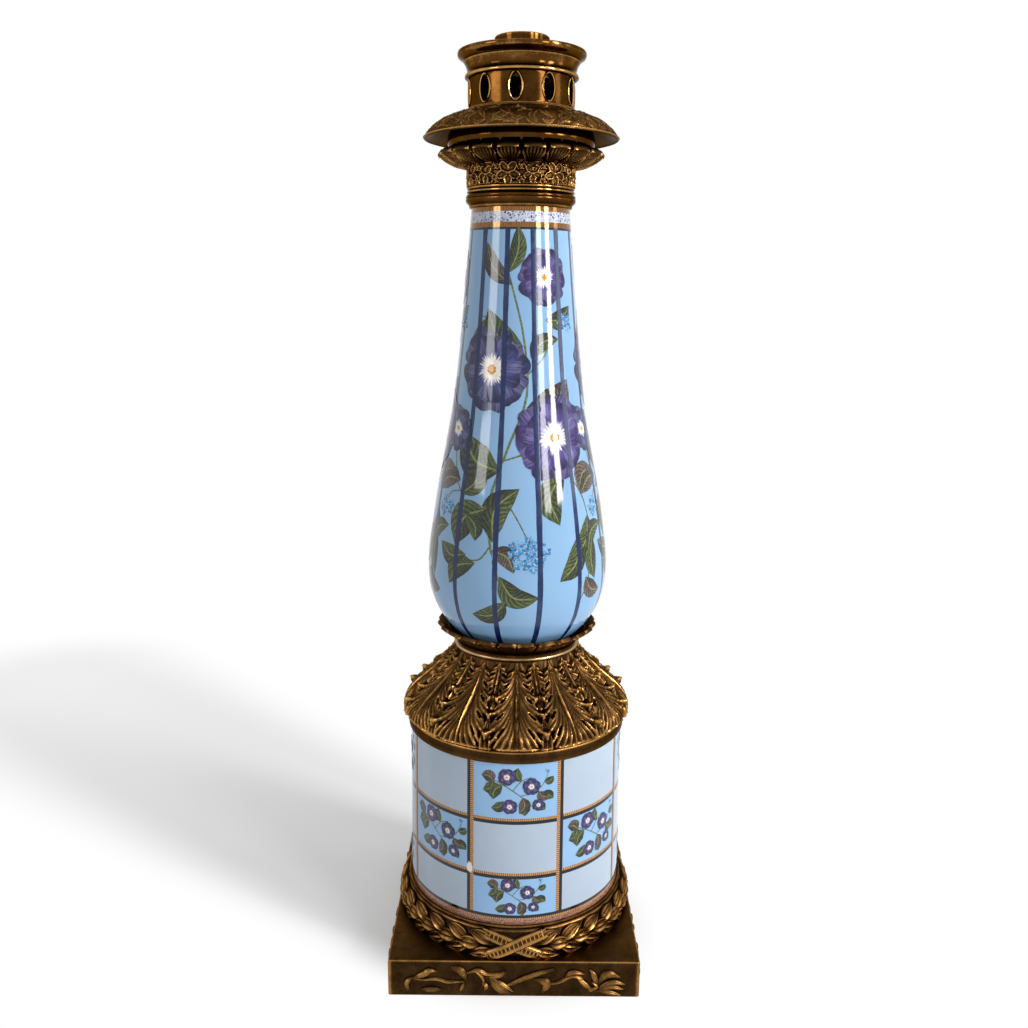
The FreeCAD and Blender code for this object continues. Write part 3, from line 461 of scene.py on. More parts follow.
def placed(name, data):
    """An object of the scene with its data."""
    holder = bpy.data.objects.new(name, data)
    bpy.context.collection.objects.link(holder)
    return holder


def with_copies(mesh, shape, count, first_turn, pitch, material):
    """The mesh joined by copies of a shape in a ring, through the geometry nodes."""
    ground = placed("ground", mesh)
    pattern = placed("pattern", mesh_of("pattern", shape))
    modifier = pattern.modifiers.new("ring", "NODES")
    modifier.node_group = RING_TREE
    for name, value in (
        ("Count", count), ("First Turn", float(first_turn)), ("Pitch", float(pitch)),
        ("Ground", ground), ("Material", material),
    ):
        modifier[RING_INPUTS[name]] = value
    depsgraph = bpy.context.evaluated_depsgraph_get()
    made = bpy.data.meshes.new_from_object(
        pattern.evaluated_get(depsgraph), preserve_all_data_layers=True, depsgraph=depsgraph)
    bpy.data.objects.remove(pattern)
    bpy.data.objects.remove(ground)
    return made


# faces that meet at a greater angle show an edge
CREASE = math.radians(38)
CUP_CREASE = math.radians(70)
PAN_CREASE = math.radians(75)
CARVED_CREASE = math.radians(80)


def finished(name, shape, material, nodes=(), rings=(), body=BODY, crease=CREASE):
    """Makes a piece of the object. A ring is a shape, its count, first turn and pitch."""
    mesh = mesh_of(name, shape)
    for pattern, count, first_turn, pitch in rings:
        mesh = with_copies(mesh, pattern, count, first_turn, pitch, material)
    mesh.name = name
    mesh.materials.clear()
    mesh.materials.append(material)
    mesh.shade_smooth()
    mesh.set_sharp_from_angle(angle=crease)
    piece = placed(name, mesh)
    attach(piece, body)
    if nodes:
        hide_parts(*nodes)


def all_round(shape, count, first_turn=0.0):
    """A ring of copies that goes all the way round."""
    return shape, count, first_turn, FULL_TURN / count


# Materials

EDGE_TINT = (0.55, 0.50, 0.46, 1.0)
WHITE = (1.0, 1.0, 1.0, 1.0)


class Paint:
    """Short calls for building a material's nodes."""

    def __init__(self, name):
        self.material = bpy.data.materials.new(name)
        self.material.use_nodes = True
        self.tree = self.material.node_tree
        self.shader = self.tree.nodes["Principled BSDF"]
        self.spot = self.node("ShaderNodeTexCoord").outputs["Object"]

    def node(self, kind, inputs=(), **settings):
        """A node of the material."""
        return new_node(self.tree, kind, inputs, **settings)

    def set(self, **values):
        """Sets or links inputs of the material's shader."""
        for key, value in values.items():
            put(self.tree, self.shader.inputs[key.replace("_", " ")], value)
        return self.material

    def math(self, operation, *values):
        """A term from an operation on some values."""
        return Term(self, self.node("ShaderNodeMath", values, operation=operation).outputs[0])

    def mapped(self, value, low, high, to_low=0.0, to_high=1.0):
        """A number brought from one range to another, and held within it."""
        return Term(self, self.node("ShaderNodeMapRange", (value, low, high, to_low, to_high)).outputs[0])

    def swayed(self, value, noise, amount):
        """A number moved either way by a noise."""
        return self.math("MULTIPLY_ADD", noise - 0.5, amount, value)

    def mix(self, share, low, high):
        """A colour between two others."""
        inputs = {"Factor": share, "A": low, "B": high}
        return self.node("ShaderNodeMix", inputs, data_type="RGBA").outputs["Result"]

    def ramp(self, value, *stops):
        """A colour from a number, through stops of a position and a colour."""
        node = self.node("ShaderNodeValToRGB", [value])
        elements = node.color_ramp.elements
        while len(elements) < len(stops):
            elements.new(1.0)
        for element, (position, colour) in zip(elements, stops):
            element.position = position
            element.color = colour
        return node.outputs[0]

    def noise(self, size, detail=3.0, rough=0.55, stretch=(1, 1, 1), spot=None):
        """Noise whose grains are about a size in millimetres."""
        stretched = self.node("ShaderNodeMapping", {"Vector": spot or self.spot, "Scale": stretch})
        return Term(self, self.node("ShaderNodeTexNoise", {
            "Vector": stretched, "Scale": 1 / (size * MM), "Detail": detail, "Roughness": rough,
        }).outputs["Fac"])

    def attribute(self, name):
        """A number kept with the mesh."""
        return Term(self, self.node("ShaderNodeAttribute", attribute_name=name).outputs["Fac"])

    def bump(self, height, depth, strength=1.0):
        """Bump of a depth in millimetres."""
        self.set(Normal=self.node(
            "ShaderNodeBump", {"Strength": strength, "Distance": depth * MM, "Height": height}))

    def split(self, vector):
        """The three numbers of a vector."""
        return [Term(self, part) for part in self.node("ShaderNodeSeparateXYZ", [vector]).outputs]

    def parts(self):
        """Distance to the axis, turn about it and height, from the object coordinates."""
        x, y, z = self.split(self.spot)
        return self.math("SQRT", x * x + y * y), self.math("ARCTAN2", y, x), z

    def own_place(self):
        """A stroke's own coordinates: as they are, across it and along it."""
        layer = self.node("ShaderNodeUVMap", uv_map="paint").outputs[0]
        across, along, _ = self.split(layer)
        return layer, across, along


def rgb(red, green, blue):
    """A colour of a photograph, 0 to 255, as the linear colour that a shader takes."""
    linear = []
    for value in (red, green, blue):
        share = value / 255
        linear.append(share / 12.92 if share <= 0.04045 else ((share + 0.055) / 1.055) ** 2.4)
    return (*linear, 1.0)


def bronze(name, deep, ground, body, bright, roughness, rough_cast=1.0):
    """Antique bronze: dark in its hollows, brown on its grounds and rubbed gold on its edges."""
    m = Paint(name)
    patches = m.noise(9.0, 4.0)
    grain = m.noise(1.1, 3.0, 0.6)
    worn = m.swayed(m.swayed(m.attribute("relief"), patches, 0.55), grain, 0.30)
    colour = m.ramp(worn, (0.05, deep), (0.30, ground), (0.62, body), (1.0, bright))
    polish = m.mapped(worn, 0.0, 1.0, roughness + 0.16 * rough_cast, roughness - 0.06 * rough_cast)
    fleck = m.mapped(m.noise(3.4, 5.0, 0.65), 0.35, 0.75, 0.0, 0.10 * rough_cast)
    m.bump(grain + patches * 1.5, 0.10 * rough_cast, 0.55)
    return m.set(Base_Color=colour, Metallic=1.0, Roughness=polish + fleck, Specular_Tint=EDGE_TINT)


BRONZE = bronze(
    "antique bronze", rgb(14, 9, 5), rgb(46, 31, 15), rgb(82, 56, 28), rgb(176, 130, 72), 0.28)
DULL_BRONZE = bronze(
    "dull bronze", rgb(66, 45, 22), rgb(80, 55, 27), rgb(92, 64, 32), rgb(120, 86, 46), 0.32)
RUBBED_BRONZE = bronze(
    "rubbed bronze", rgb(26, 18, 11), rgb(64, 48, 30), rgb(112, 88, 58), rgb(178, 150, 110), 0.26)
PLAIN_BRONZE = bronze(
    "smooth bronze", rgb(14, 8, 3), rgb(52, 31, 11), rgb(88, 56, 21), rgb(192, 146, 84), 0.10, 0.22)


def bronze_piece(name, shape, node, rings, material=BRONZE, crease=CREASE):
    """Makes a bronze piece of the stand that takes the place of a CAD node."""
    finished(name, shape, material, [node], rings, crease=crease)


def iron(name):
    """Dark oiled iron with a turned grain."""
    m = Paint(name)
    grain = m.noise(0.6, 2.0, 0.5, (1, 1, 0.05))
    colour = m.mix(grain, rgb(70, 66, 62), rgb(140, 134, 126))
    m.bump(grain, 0.05)
    return m.set(Base_Color=colour, Metallic=1.0, Roughness=m.mapped(grain, 0, 1, 0.35, 0.6))


def felt(name):
    """Dark green pressed felt with short fibres."""
    m = Paint(name)
    fibres = m.noise(0.35, 4.0, 0.7)
    colour = m.mix(fibres, rgb(22, 34, 26), rgb(62, 78, 62))
    m.bump(fibres, 0.25)
    return m.set(Base_Color=colour, Roughness=0.95, Sheen_Weight=0.4)


IRON = iron("dark iron")
FELT = felt("green felt")

# Painted porcelain

VASE_RADIUS, VASE_BASE, VASE_TOP = span("vase")
DRUM_RADIUS, DRUM_BASE, DRUM_TOP = span("drum")
DRUM_TOP_LOOK = DRUM_RADIUS - 1.0
STRIPE_COUNT = 13
STRIPE_HALF = 1.5
NECK_BAND = 11.6
PANEL_COLUMNS = 8
HIGH_BORDER = DRUM_BASE + 75.0
LOW_BORDER = DRUM_BASE + 41.5
DRUM_FOOT_BAND = DRUM_BASE + 17.0
GOLD_HALF = 1.0
BLACK_LINE = 1.9
GLAZE_ROUGHNESS = 0.07
STRIPE_ROUGHNESS = 0.14
GLAZE_IOR = 1.47
SKY = rgb(118, 160, 200)
SKY_PALE = rgb(138, 174, 206)
NAVY = rgb(0, 34, 90)
BLACK = rgb(14, 14, 20)
GOLD = rgb(166, 106, 50)
GOLD_BRIGHT = rgb(218, 172, 108)
# half the width over which a stripe's edge and a band's edge blur
STRIPE_BLUR = 0.12
BAND_BLUR = 0.06


def below(m, distance, level, blur):
    """1 under a level in millimetres and 0 over it."""
    return m.mapped(distance, (level - blur) * MM, (level + blur) * MM, 1.0, 0.0)


def between(m, value, low, high):
    """1 where a height lies between two others in millimetres."""
    over = m.mapped(value, (low - BAND_BLUR) * MM, (low + BAND_BLUR) * MM)
    return over * below(m, value, high, BAND_BLUR)


def striped(m, colour):
    """The vase's navy lustre stripes over a colour, how much of them there is and their grain."""
    radius, turn, height = m.parts()
    pitch = FULL_TURN / STRIPE_COUNT
    across = m.math("PINGPONG", turn - FRONT, pitch / 2) - pitch / 2
    wobble = (m.noise(28.0, 2.0) - 0.5) * (1.1 * MM)
    ragged = (m.noise(0.5, 2.0) - 0.5) * (0.35 * MM)
    stripe = below(m, abs(across * radius + wobble) + ragged, STRIPE_HALF, STRIPE_BLUR)
    over_foot = m.math("GREATER_THAN", height, VASE_BASE * MM)
    under_neck = m.math("LESS_THAN", height, (VASE_TOP - NECK_BAND) * MM)
    stripe = stripe * (over_foot * under_neck)
    grain = m.noise(0.42, 3.0, 0.7)
    ink = m.ramp(grain, (0.36, rgb(0, 12, 42)), (0.60, NAVY), (0.80, rgb(14, 74, 140)))
    thin = m.mapped(m.noise(16.0, 3.0), 0.42, 0.70, 1.0, 0.90)
    return m.mix(stripe * thin, colour, ink), stripe, grain


def glazed(m, colour, stripe=None, grain=None):
    """Gives a paint its clear glaze, a little rougher over the stripes."""
    height = m.noise(22.0, 2.0, 0.4)
    roughness = GLAZE_ROUGHNESS
    if stripe is not None:
        height = m.math("MULTIPLY_ADD", stripe * grain, 0.5, height)
        roughness = m.mapped(stripe, 0, 1, GLAZE_ROUGHNESS, STRIPE_ROUGHNESS)
    m.bump(height, 0.10, 0.6)
    return m.set(Base_Color=colour, Roughness=roughness, IOR=GLAZE_IOR)


def striped_glaze(m, colour):
    """The vase's stripes and glaze over a paint."""
    return glazed(m, *striped(m, colour))


def beaded(m, place, pitch, gold=GOLD, bright=GOLD_BRIGHT):
    """Gold leaf stamped with a row of small beads along a place in metres."""
    wave = m.math("SINE", place * (FULL_TURN / (pitch * MM)))
    shade = m.math("MULTIPLY_ADD", wave, 0.5, 0.5)
    tone = m.math("MULTIPLY_ADD", m.noise(0.8), 0.5, shade * 0.6)
    return m.ramp(tone, (0.20, rgb(80, 46, 20)), (0.55, gold), (0.90, bright))


def vase_glaze():
    """Sky blue glaze with navy stripes and a gilt and speckled band at the neck."""
    m = Paint("painted vase")
    radius, turn, height = m.parts()
    colour, stripe, grain = striped(m, m.mix(m.noise(46.0, 3.0), SKY, SKY_PALE))
    speckle = m.node(
        "ShaderNodeTexVoronoi", {"Vector": m.spot, "Scale": 1 / (1.5 * MM)}, feature="DISTANCE_TO_EDGE")
    lace = m.ramp(
        speckle, (0.04, rgb(216, 214, 222)), (0.10, rgb(160, 168, 190)), (0.20, rgb(44, 54, 98)))
    lace = m.mix(m.mapped(m.noise(2.2), 0.45, 0.6), lace, rgb(178, 184, 200))
    gilt = beaded(m, turn * radius, 0.85, rgb(116, 74, 32), rgb(176, 130, 72))
    band = VASE_TOP - NECK_BAND
    for low, high, paint in (
        (0.0, 1.2, BLACK), (1.2, 3.8, gilt), (3.8, 9.2, lace), (9.2, NECK_BAND + 1, gilt),
    ):
        colour = m.mix(between(m, height, band + low, band + high), colour, paint)
    gold = between(m, height, band + 1.2, band + 3.8) + between(m, height, band + 9.2, VASE_TOP + 1)
    m.set(Metallic=gold * 0.6)
    return glazed(m, colour, stripe, grain)


def drum_glaze():
    """A checker of plain and sky panels edged with beaded gold and black, over a speckled band."""
    m = Paint("painted drum")
    radius, turn, height = m.parts()
    pitch = FULL_TURN / PANEL_COLUMNS
    spot = (turn - (FRONT + pitch / 2)) / pitch
    # so numbered that every column is positive and the one at the front is even
    column = m.math("FLOOR", spot) + 17.0
    part = m.math("FRACT", spot) * pitch
    edge = m.math("MINIMUM", part, pitch - part) * radius
    over_low = m.math("GREATER_THAN", height, LOW_BORDER * MM)
    over_high = m.math("GREATER_THAN", height, HIGH_BORDER * MM)
    cloud = m.noise(30.0, 3.0)
    sky = m.mix(cloud, rgb(124, 168, 212), rgb(150, 186, 220))
    plain = m.mix(cloud, rgb(160, 176, 195), rgb(174, 188, 203))
    colour = m.mix(m.math("MODULO", column + (over_low + over_high), 2.0), sky, plain)
    down = beaded(m, height, 1.2)
    around = beaded(m, turn * radius, 1.2)
    for level in (LOW_BORDER, HIGH_BORDER):
        colour = m.mix(between(m, height, level - 2.1, level), colour, BLACK)
        colour = m.mix(between(m, height, level, level + 1.6), colour, around)
    line = below(m, edge, GOLD_HALF + BLACK_LINE, BAND_BLUR)
    colour = m.mix(line * m.math("MODULO", column, 2.0), colour, BLACK)
    colour = m.mix(m.math("LESS_THAN", edge, GOLD_HALF * MM), colour, down)
    foot = DRUM_FOOT_BAND
    pink = m.ramp(
        m.noise(0.7, 4.0, 0.7), (0.38, rgb(66, 44, 50)), (0.5, rgb(150, 104, 84)), (0.66, rgb(196, 146, 116)))
    colour = m.mix(between(m, height, foot - 6.0, foot - 3.4), colour, pink)
    colour = m.mix(m.math("LESS_THAN", height, (foot - 2.9) * MM), colour, pink)
    colour = m.mix(between(m, height, foot - 2.9, foot - 1.9), colour, around)
    colour = m.mix(between(m, height, foot - 1.9, foot), colour, BLACK)
    # a chip in the glaze, beside a crossing of the gilt lines
    side = ((turn - (FRONT - pitch / 2)) * radius + 1.3 * MM) / (1.8 * MM)
    rise = (height - (LOW_BORDER + 2.2) * MM) / (3.4 * MM)
    gap = m.swayed(m.math("SQRT", side * side + rise * rise), m.noise(1.6, 3.0), 1.1)
    chip = m.mapped(gap, 0.92, 1.0, 1.0, 0.0)
    return glazed(m, m.mix(chip, colour, rgb(222, 218, 212)))


def petal_paint(name, throat, ring, middle, rim):
    """A bloom's paint: pale throat, feathered veins and a dark rim, along its own coordinates."""
    m = Paint(name)
    layer, across, along = m.own_place()
    brush = m.noise(1 / MM, 4.0, 0.5, (16.0, 1.6, 1.0), layer)
    feather = m.swayed(along, brush, 0.34)
    colour = m.ramp(
        feather, (0.0, throat), (0.26, throat), (0.36, ring), (0.46, middle), (0.78, middle), (0.96, rim))
    veins = m.mapped(brush, 0.40, 0.60)
    body = m.mapped(feather, 0.24, 0.44, 0.0, 0.75)
    blot = m.mapped(m.noise(5.5, 4.0, 0.6), 0.46, 0.62, 0.0, 0.6)
    light = m.mapped(abs(across - 0.34), 0.0, 0.30, 0.34, 0.0)
    edge = m.mapped(abs(across - 0.5), 0.40, 0.5, 0.0, 0.65)
    shade = m.mapped(m.attribute("tint"), 0.0, 1.0, 0.0, 0.70)
    for share, paint in (
        (veins * body, rim), (blot * body, middle),
        (light * m.mapped(veins, 0.0, 1.0, 1.0, 0.2), rgb(168, 166, 214)),
        (edge * body, rim), (shade * body, rgb(34, 30, 62)),
    ):
        colour = m.mix(share, colour, paint)
    return striped_glaze(m, colour)


def leaf_paint(name):
    """Olive leaf paint with a pale midrib, side veins and browner leaves among the green."""
    m = Paint(name)
    _, across, along = m.own_place()
    off = abs(across - 0.5)
    wave = m.math("SINE", (along - off * 0.55) * 52.0)
    tone = m.noise(1.6, 4.0, 0.6) * 0.75 + wave * 0.13
    tone = tone + m.mapped(across, 0.0, 1.0, -0.12, 0.16)
    green = m.ramp(
        tone, (0.18, rgb(20, 26, 15)), (0.42, rgb(52, 64, 34)), (0.66, rgb(94, 106, 56)),
        (0.9, rgb(142, 148, 92)))
    brown = m.ramp(tone, (0.18, rgb(30, 24, 22)), (0.45, rgb(74, 62, 54)), (0.8, rgb(132, 116, 104)))
    colour = m.mix(m.mapped(m.attribute("tint"), 0.55, 0.65), green, brown)
    colour = m.mix(m.mapped(off, 0.02, 0.05, 0.7, 0.0), colour, rgb(140, 146, 94))
    colour = m.mix(m.mapped(off, 0.42, 0.5, 0.0, 0.55), colour, rgb(22, 26, 18))
    return striped_glaze(m, colour)


def plain_paint(name, dark, middle, light, size=0.9):
    """Brushed paint in three tones."""
    m = Paint(name)
    tone = m.noise(size, 3.0, 0.6) + m.mapped(m.attribute("tint"), 0, 1, -0.12, 0.12)
    return striped_glaze(m, m.ramp(tone, (0.3, dark), (0.5, middle), (0.72, light)))


GLAZE = vase_glaze()
DRUM_GLAZE = drum_glaze()
PURPLE_PAINT = petal_paint(
    "violet bloom paint", rgb(240, 234, 226), rgb(176, 166, 212), rgb(80, 62, 136), rgb(30, 18, 58))
BLUE_PAINT = petal_paint(
    "blue bloom paint", rgb(238, 232, 222), rgb(160, 164, 206), rgb(56, 64, 124), rgb(18, 20, 50))
LEAF_PAINT = leaf_paint("leaf paint")
STEM_PAINT = plain_paint("stem paint", rgb(52, 62, 34), rgb(88, 100, 58), rgb(140, 148, 96))
BERRY_PAINT = plain_paint("small flower paint", rgb(24, 78, 130), rgb(52, 128, 184), rgb(150, 200, 226), 0.6)
RAY_PAINT = plain_paint("ray paint", rgb(190, 180, 182), rgb(228, 218, 208), rgb(244, 240, 232), 0.8)
HEART_PAINT = plain_paint("heart paint", rgb(176, 104, 22), rgb(226, 168, 60), rgb(252, 236, 180), 0.7)


# The drum, the vase and their painting

# outline of the vase from its foot up: share of its height, share of its belly's radius
VASE_SHARES = (
    (0.0, 0.640), (0.020, 0.745), (0.0505, 0.856), (0.092, 0.950), (0.147, 1.0), (0.213, 0.990),
    (0.28, 0.950), (0.36, 0.889), (0.437, 0.818), (0.530, 0.7355), (0.631, 0.676), (0.72, 0.631),
    (0.81, 0.592), (0.90, 0.555), (1.0, 0.5174),
)
VASE_WALL_LOOK = 4.0
VASE_ROWS = 130


def vase_line():
    """The outside of the vase from its foot up."""
    shares = smooth(VASE_SHARES, VASE_ROWS)
    height = VASE_BASE + (VASE_TOP - VASE_BASE) * shares[:, 0]
    return np.stack([VASE_RADIUS * shares[:, 1], height], axis=-1)


def make_vase():
    """The slender porcelain vase, hollow, with a closed foot."""
    outside = vase_line()
    bore = outside[::-1][::8] - np.array([VASE_WALL_LOOK, 0])
    bore[-1, 1] += VASE_WALL_LOOK
    line = np.concatenate([outside, bore])
    finished("painted_vase", lathe(line, sides=PORCELAIN_SIDES), GLAZE, ["vase"])


VASE_GROUND = Turned(vase_line()[::-1])
# how far each kind of paint stands over the glaze, and what parts strokes that cross
STEM_LIFT = 0.05
LEAF_PAINT_LIFT = 0.09
PETAL_PAINT_LIFT = 0.13
BLOOM_STEP = 0.10
HEART_PAINT_LIFT = 0.36
PAINT_SINK = 0.08
LAYER_STEP = 0.006
LAYER_STEPS = 7
# heights across a stroke
THIN_CROWN = (-0.02, 0.0, -0.02)
BERRY_CROWN = (-0.03, 0.0, -0.03)
FLAT_CROWN = (-0.04, 0.0, 0.0, 0.0, 0.0, 0.0, -0.04)
PETAL_CROWN = (-0.04, *[0.0] * 11, -0.04)
# reach of a petal's rim from side to side
PETAL_RUFFLES = (
    (0.70, 0.86, 0.95, 0.99, 1.00, 0.97, 0.95, 0.985, 1.01, 1.00, 0.95, 0.86, 0.72),
    (0.72, 0.88, 0.97, 1.00, 0.97, 0.95, 0.98, 1.015, 1.01, 0.97, 0.93, 0.85, 0.70),
    (0.68, 0.84, 0.93, 0.96, 0.95, 0.97, 1.01, 1.02, 0.99, 0.95, 0.94, 0.87, 0.74),
)


PAINTS = {
    "violet": PURPLE_PAINT, "blue": BLUE_PAINT, "leaf": LEAF_PAINT, "stem": STEM_PAINT,
    "berry": BERRY_PAINT, "ray": RAY_PAINT, "heart": HEART_PAINT,
}


def direction(angle, squeeze=1.0):
    """A step of length one at an angle, squeezed upwards."""
    return np.array([math.cos(angle), math.sin(angle) * squeeze])


class Painting:
    """Flowers painted on a ground, gathered by colour and made into thin closed shapes.

    Spots are millimetres to the right and up from a middle, before the scale.
    """

    def __init__(self, ground, turn, along, scale=1.0):
        self.ground = ground
        self.turn = turn
        self.middle = along
        self.scale = scale
        self.layers = {layer: [] for layer in PAINTS}
        self.blooms = 0

    def stroke(self, layer, path, widths, lift, rows, tint=0.5, crown=FLAT_CROWN, reach=None):
        """A brush stroke along a path."""
        path = np.asarray(path, float) * self.scale
        path[:, 1] = self.middle - path[:, 1]
        height = lift + LAYER_STEP * (len(self.layers[layer]) % LAYER_STEPS)
        self.layers[layer].append(blade(
            self.ground, self.turn, path, np.asarray(widths, float) * self.scale,
            [height, height], crown, rows, sink=PAINT_SINK, reach=reach, tint=tint))

    def stem(self, path, width):
        """A thin stem, a little thinner at its end."""
        self.stroke("stem", path, [width, width, width * 0.7], STEM_LIFT, 22, crown=THIN_CROWN)

    def leaves(self, rows, longer, wider):
        """Leaves from a spot to a tip, with a half width, a bend and a tint, made larger by shares."""
        for start, tip, width, bend, tint in rows:
            start = np.array(start, float)
            tip = start + (np.array(tip, float) - start) * longer
            run = tip - start
            middle = (start + tip) / 2 + np.array([-run[1], run[0]]) * bend
            full = width * wider
            widths = [0.05, full * 0.8, full, full * 0.75, 0.05]
            self.stroke("leaf", [start, middle, tip], widths, LEAF_PAINT_LIFT, 16, tint)

    def bloom(self, colour, centre, size, petals, turn, squeeze, tint):
        """An open flower: two rings of ruffled petals, a pale rayed throat and a gold heart."""
        centre = np.array(centre, float)
        level = PETAL_PAINT_LIFT + BLOOM_STEP * (self.blooms % 2)
        self.blooms += 1
        for ring, (grow, shade) in enumerate(((1.0, 0.30), (0.80, 0.0))):
            for index in range(petals):
                run = direction(turn + FULL_TURN / petals * (index + 0.5 * ring), squeeze) * size * grow
                half = math.pi / petals * size * grow
                widths = np.array([0.20, 0.55, 0.85, 1.05, 1.20, 1.24]) * half
                path = [centre + run * 0.06, centre + run * 0.5, centre + run]
                own = tint + shade + 0.45 * ((index * 3 + ring) % 5) / 5
                # each petal over the last one, whatever its place in the layer
                order = ring * petals + index - len(self.layers[colour]) % LAYER_STEPS
                self.stroke(colour, path, widths, level + LAYER_STEP * order, 16, own,
                            PETAL_CROWN, PETAL_RUFFLES[(index + ring) % 3])
        rays = petals * 5
        for index in range(rays):
            run = direction(turn + FULL_TURN / rays * (index + 0.5), squeeze) * size
            reach = 0.27 + 0.06 * (index % 3)
            self.stroke("ray", [centre, centre + run * reach / 2, centre + run * reach],
                        [size * 0.03, size * 0.032, size * 0.006], HEART_PAINT_LIFT, 5, 0.9, THIN_CROWN)
        self.stroke("heart", [centre - [size * 0.13, 0], centre, centre + [size * 0.13, 0]],
                    [size * 0.05, size * 0.14, size * 0.05], HEART_PAINT_LIFT + 0.07, 10, 0.1)

    def cluster(self, centre, size, count, seed):
        """A head of small four-petalled flowers."""
        chance = np.random.default_rng(seed)
        for index in range(count):
            spread = size * math.sqrt((index + 0.5) / count)
            spot = np.array(centre) + spread * direction(index * 2.4, 0.8)
            turn = chance.uniform(0, 1.5)
            for petal in range(4):
                run = direction(turn + petal * 1.571) * 2.3
                self.stroke("berry", [spot + run * 0.05, spot + run * 0.5, spot + run], [0.3, 1.0, 0.4],
                            PETAL_PAINT_LIFT, 5, chance.uniform(0, 1), BERRY_CROWN)
            self.stroke("heart", [spot - [0.4, 0], spot, spot + [0.4, 0]], [0.1, 0.4, 0.1],
                        HEART_PAINT_LIFT, 4, 0.6, THIN_CROWN)

    def finish(self, name, copies):
        """Makes a piece of each colour, with its copies round the ground."""
        pitch = FULL_TURN / copies
        for layer, strokes in self.layers.items():
            if strokes:
                shape = together(strokes)
                finished(f"{name}_{layer}", shape, PAINTS[layer],
                         rings=[(shape, copies - 1, pitch, pitch)])


# leaves: start, tip, half width, bend and tint
SPRAY_LARGE_LEAVES = (
    ((-14, -58), (-2, -34), 5.5, 0.2, 0.2), ((-17, -40), (-34, -58), 6.5, -0.2, 0.3),
    ((-34, -34), (-24, -16), 4.5, -0.2, 0.4), ((-38, -22), (-54, -30), 4.5, -0.2, 0.7),
    ((-10, -20), (-28, -4), 8.0, 0.2, 0.3), ((4, 14), (24, 26), 7.0, -0.22, 0.8),
    ((2, 46), (-14, 62), 5.5, 0.2, 0.2), ((14, 60), (28, 66), 4.0, -0.2, 0.3),
    ((-4, 78), (-16, 96), 3.6, 0.15, 0.7), ((-6, 84), (-2, 104), 3.2, -0.1, 0.3),
    ((26, -20), (24, -44), 5.5, -0.25, 0.2), ((38, -34), (54, -28), 5.0, 0.2, 0.7),
    ((44, -46), (34, -64), 4.5, 0.2, 0.3), ((48, -58), (50, -78), 3.8, -0.1, 0.3),
    ((-10, -76), (8, -86), 4.5, -0.25, 0.2), ((-6, -90), (-22, -98), 4.2, 0.2, 0.3),
)
SPRAY_SMALL_LEAVES = (
    ((-24, -70), (-42, -84), 5.0, -0.2, 0.3), ((-30, -66), (-50, -62), 5.0, 0.2, 0.2),
    ((10, -10), (22, -28), 5.5, 0.2, 0.3), ((36, -56), (24, -80), 5.5, 0.2, 0.2),
    ((44, -66), (58, -52), 4.5, 0.25, 0.3), ((42, -80), (56, -90), 4.5, -0.2, 0.7),
    ((-14, -62), (-2, -74), 4.5, 0.2, 0.7), ((-20, 60), (-32, 44), 4.5, 0.2, 0.3),
    ((6, 40), (22, 50), 4.0, 0.2, 0.2), ((-30, -44), (-24, -58), 4.0, 0.2, 0.2),
)
SPRAY_MIDDLE = 118.0
SPRAYS = 3


def paint_vase():
    """Three alike sprays round the vase, between its neck and its foot."""
    spray = Painting(VASE_GROUND, FRONT, SPRAY_MIDDLE)
    for width, path in (
        (0.7, [(-6, -92), (-14, -66), (-16, -38), (-6, -8), (4, 20), (2, 52), (-6, 84)]),
        (0.5, [(-15, -50), (-28, -42), (-38, -24), (-40, 0)]),
        (0.5, [(-8, -14), (10, -10), (26, -20), (40, -36), (48, -58)]),
        (0.45, [(3, 30), (14, 42), (18, 56), (14, 70)]),
        (0.45, [(-15, -60), (-22, -68), (-34, -68), (-44, -62)]),
        (0.5, [(44, -50), (46, -66), (44, -82), (36, -96)]),
        (0.4, [(2, 44), (-10, 58), (-22, 62)]),
        (0.4, [(-10, -30), (0, -46), (8, -62)]),
        (0.35, [(-34, -32), (-42, -34), (-47, -40)]),
    ):
        spray.stem(path, width)
    spray.bloom("blue", (-15, 34), 20.0, 6, 0.4, 1.12, 0.1)
    spray.bloom("violet", (20, -2), 21.0, 5, 0.9, 1.08, 0.0)
    spray.bloom("violet", (13, 82), 13.5, 5, 0.2, 1.1, 0.2)
    spray.bloom("blue", (-39, 1), 11.0, 5, 1.2, 1.1, 0.2)
    spray.leaves(SPRAY_LARGE_LEAVES, 1.22, 1.35)
    spray.leaves(SPRAY_SMALL_LEAVES, 1.0, 1.2)
    spray.cluster((6, -64), 11.0, 24, 3)
    spray.cluster((-47, -42), 6.0, 9, 4)
    spray.cluster((27, 58), 5.0, 7, 5)
    spray.finish("vase_painting", SPRAYS)


POSY_LEAVES = (
    ((-30, 16), (-44, 2), 7.0, 0.2, 0.3), ((-18, 10), (-30, -10), 7.5, -0.2, 0.2),
    ((10, -8), (6, -30), 6.5, 0.2, 0.7), ((24, -22), (40, -28), 6.0, 0.2, 0.3),
    ((32, 0), (46, -8), 6.0, -0.2, 0.7), ((8, 16), (4, 34), 5.5, 0.2, 0.3),
    ((40, 14), (52, 20), 4.5, -0.2, 0.2), ((-30, 14), (-46, 22), 7.0, -0.2, 0.7),
    ((20, -18), (14, -34), 6.0, -0.2, 0.2), ((36, -8), (52, -12), 6.0, 0.2, 0.4),
    ((-16, -14), (-32, -24), 6.0, 0.2, 0.3),
)
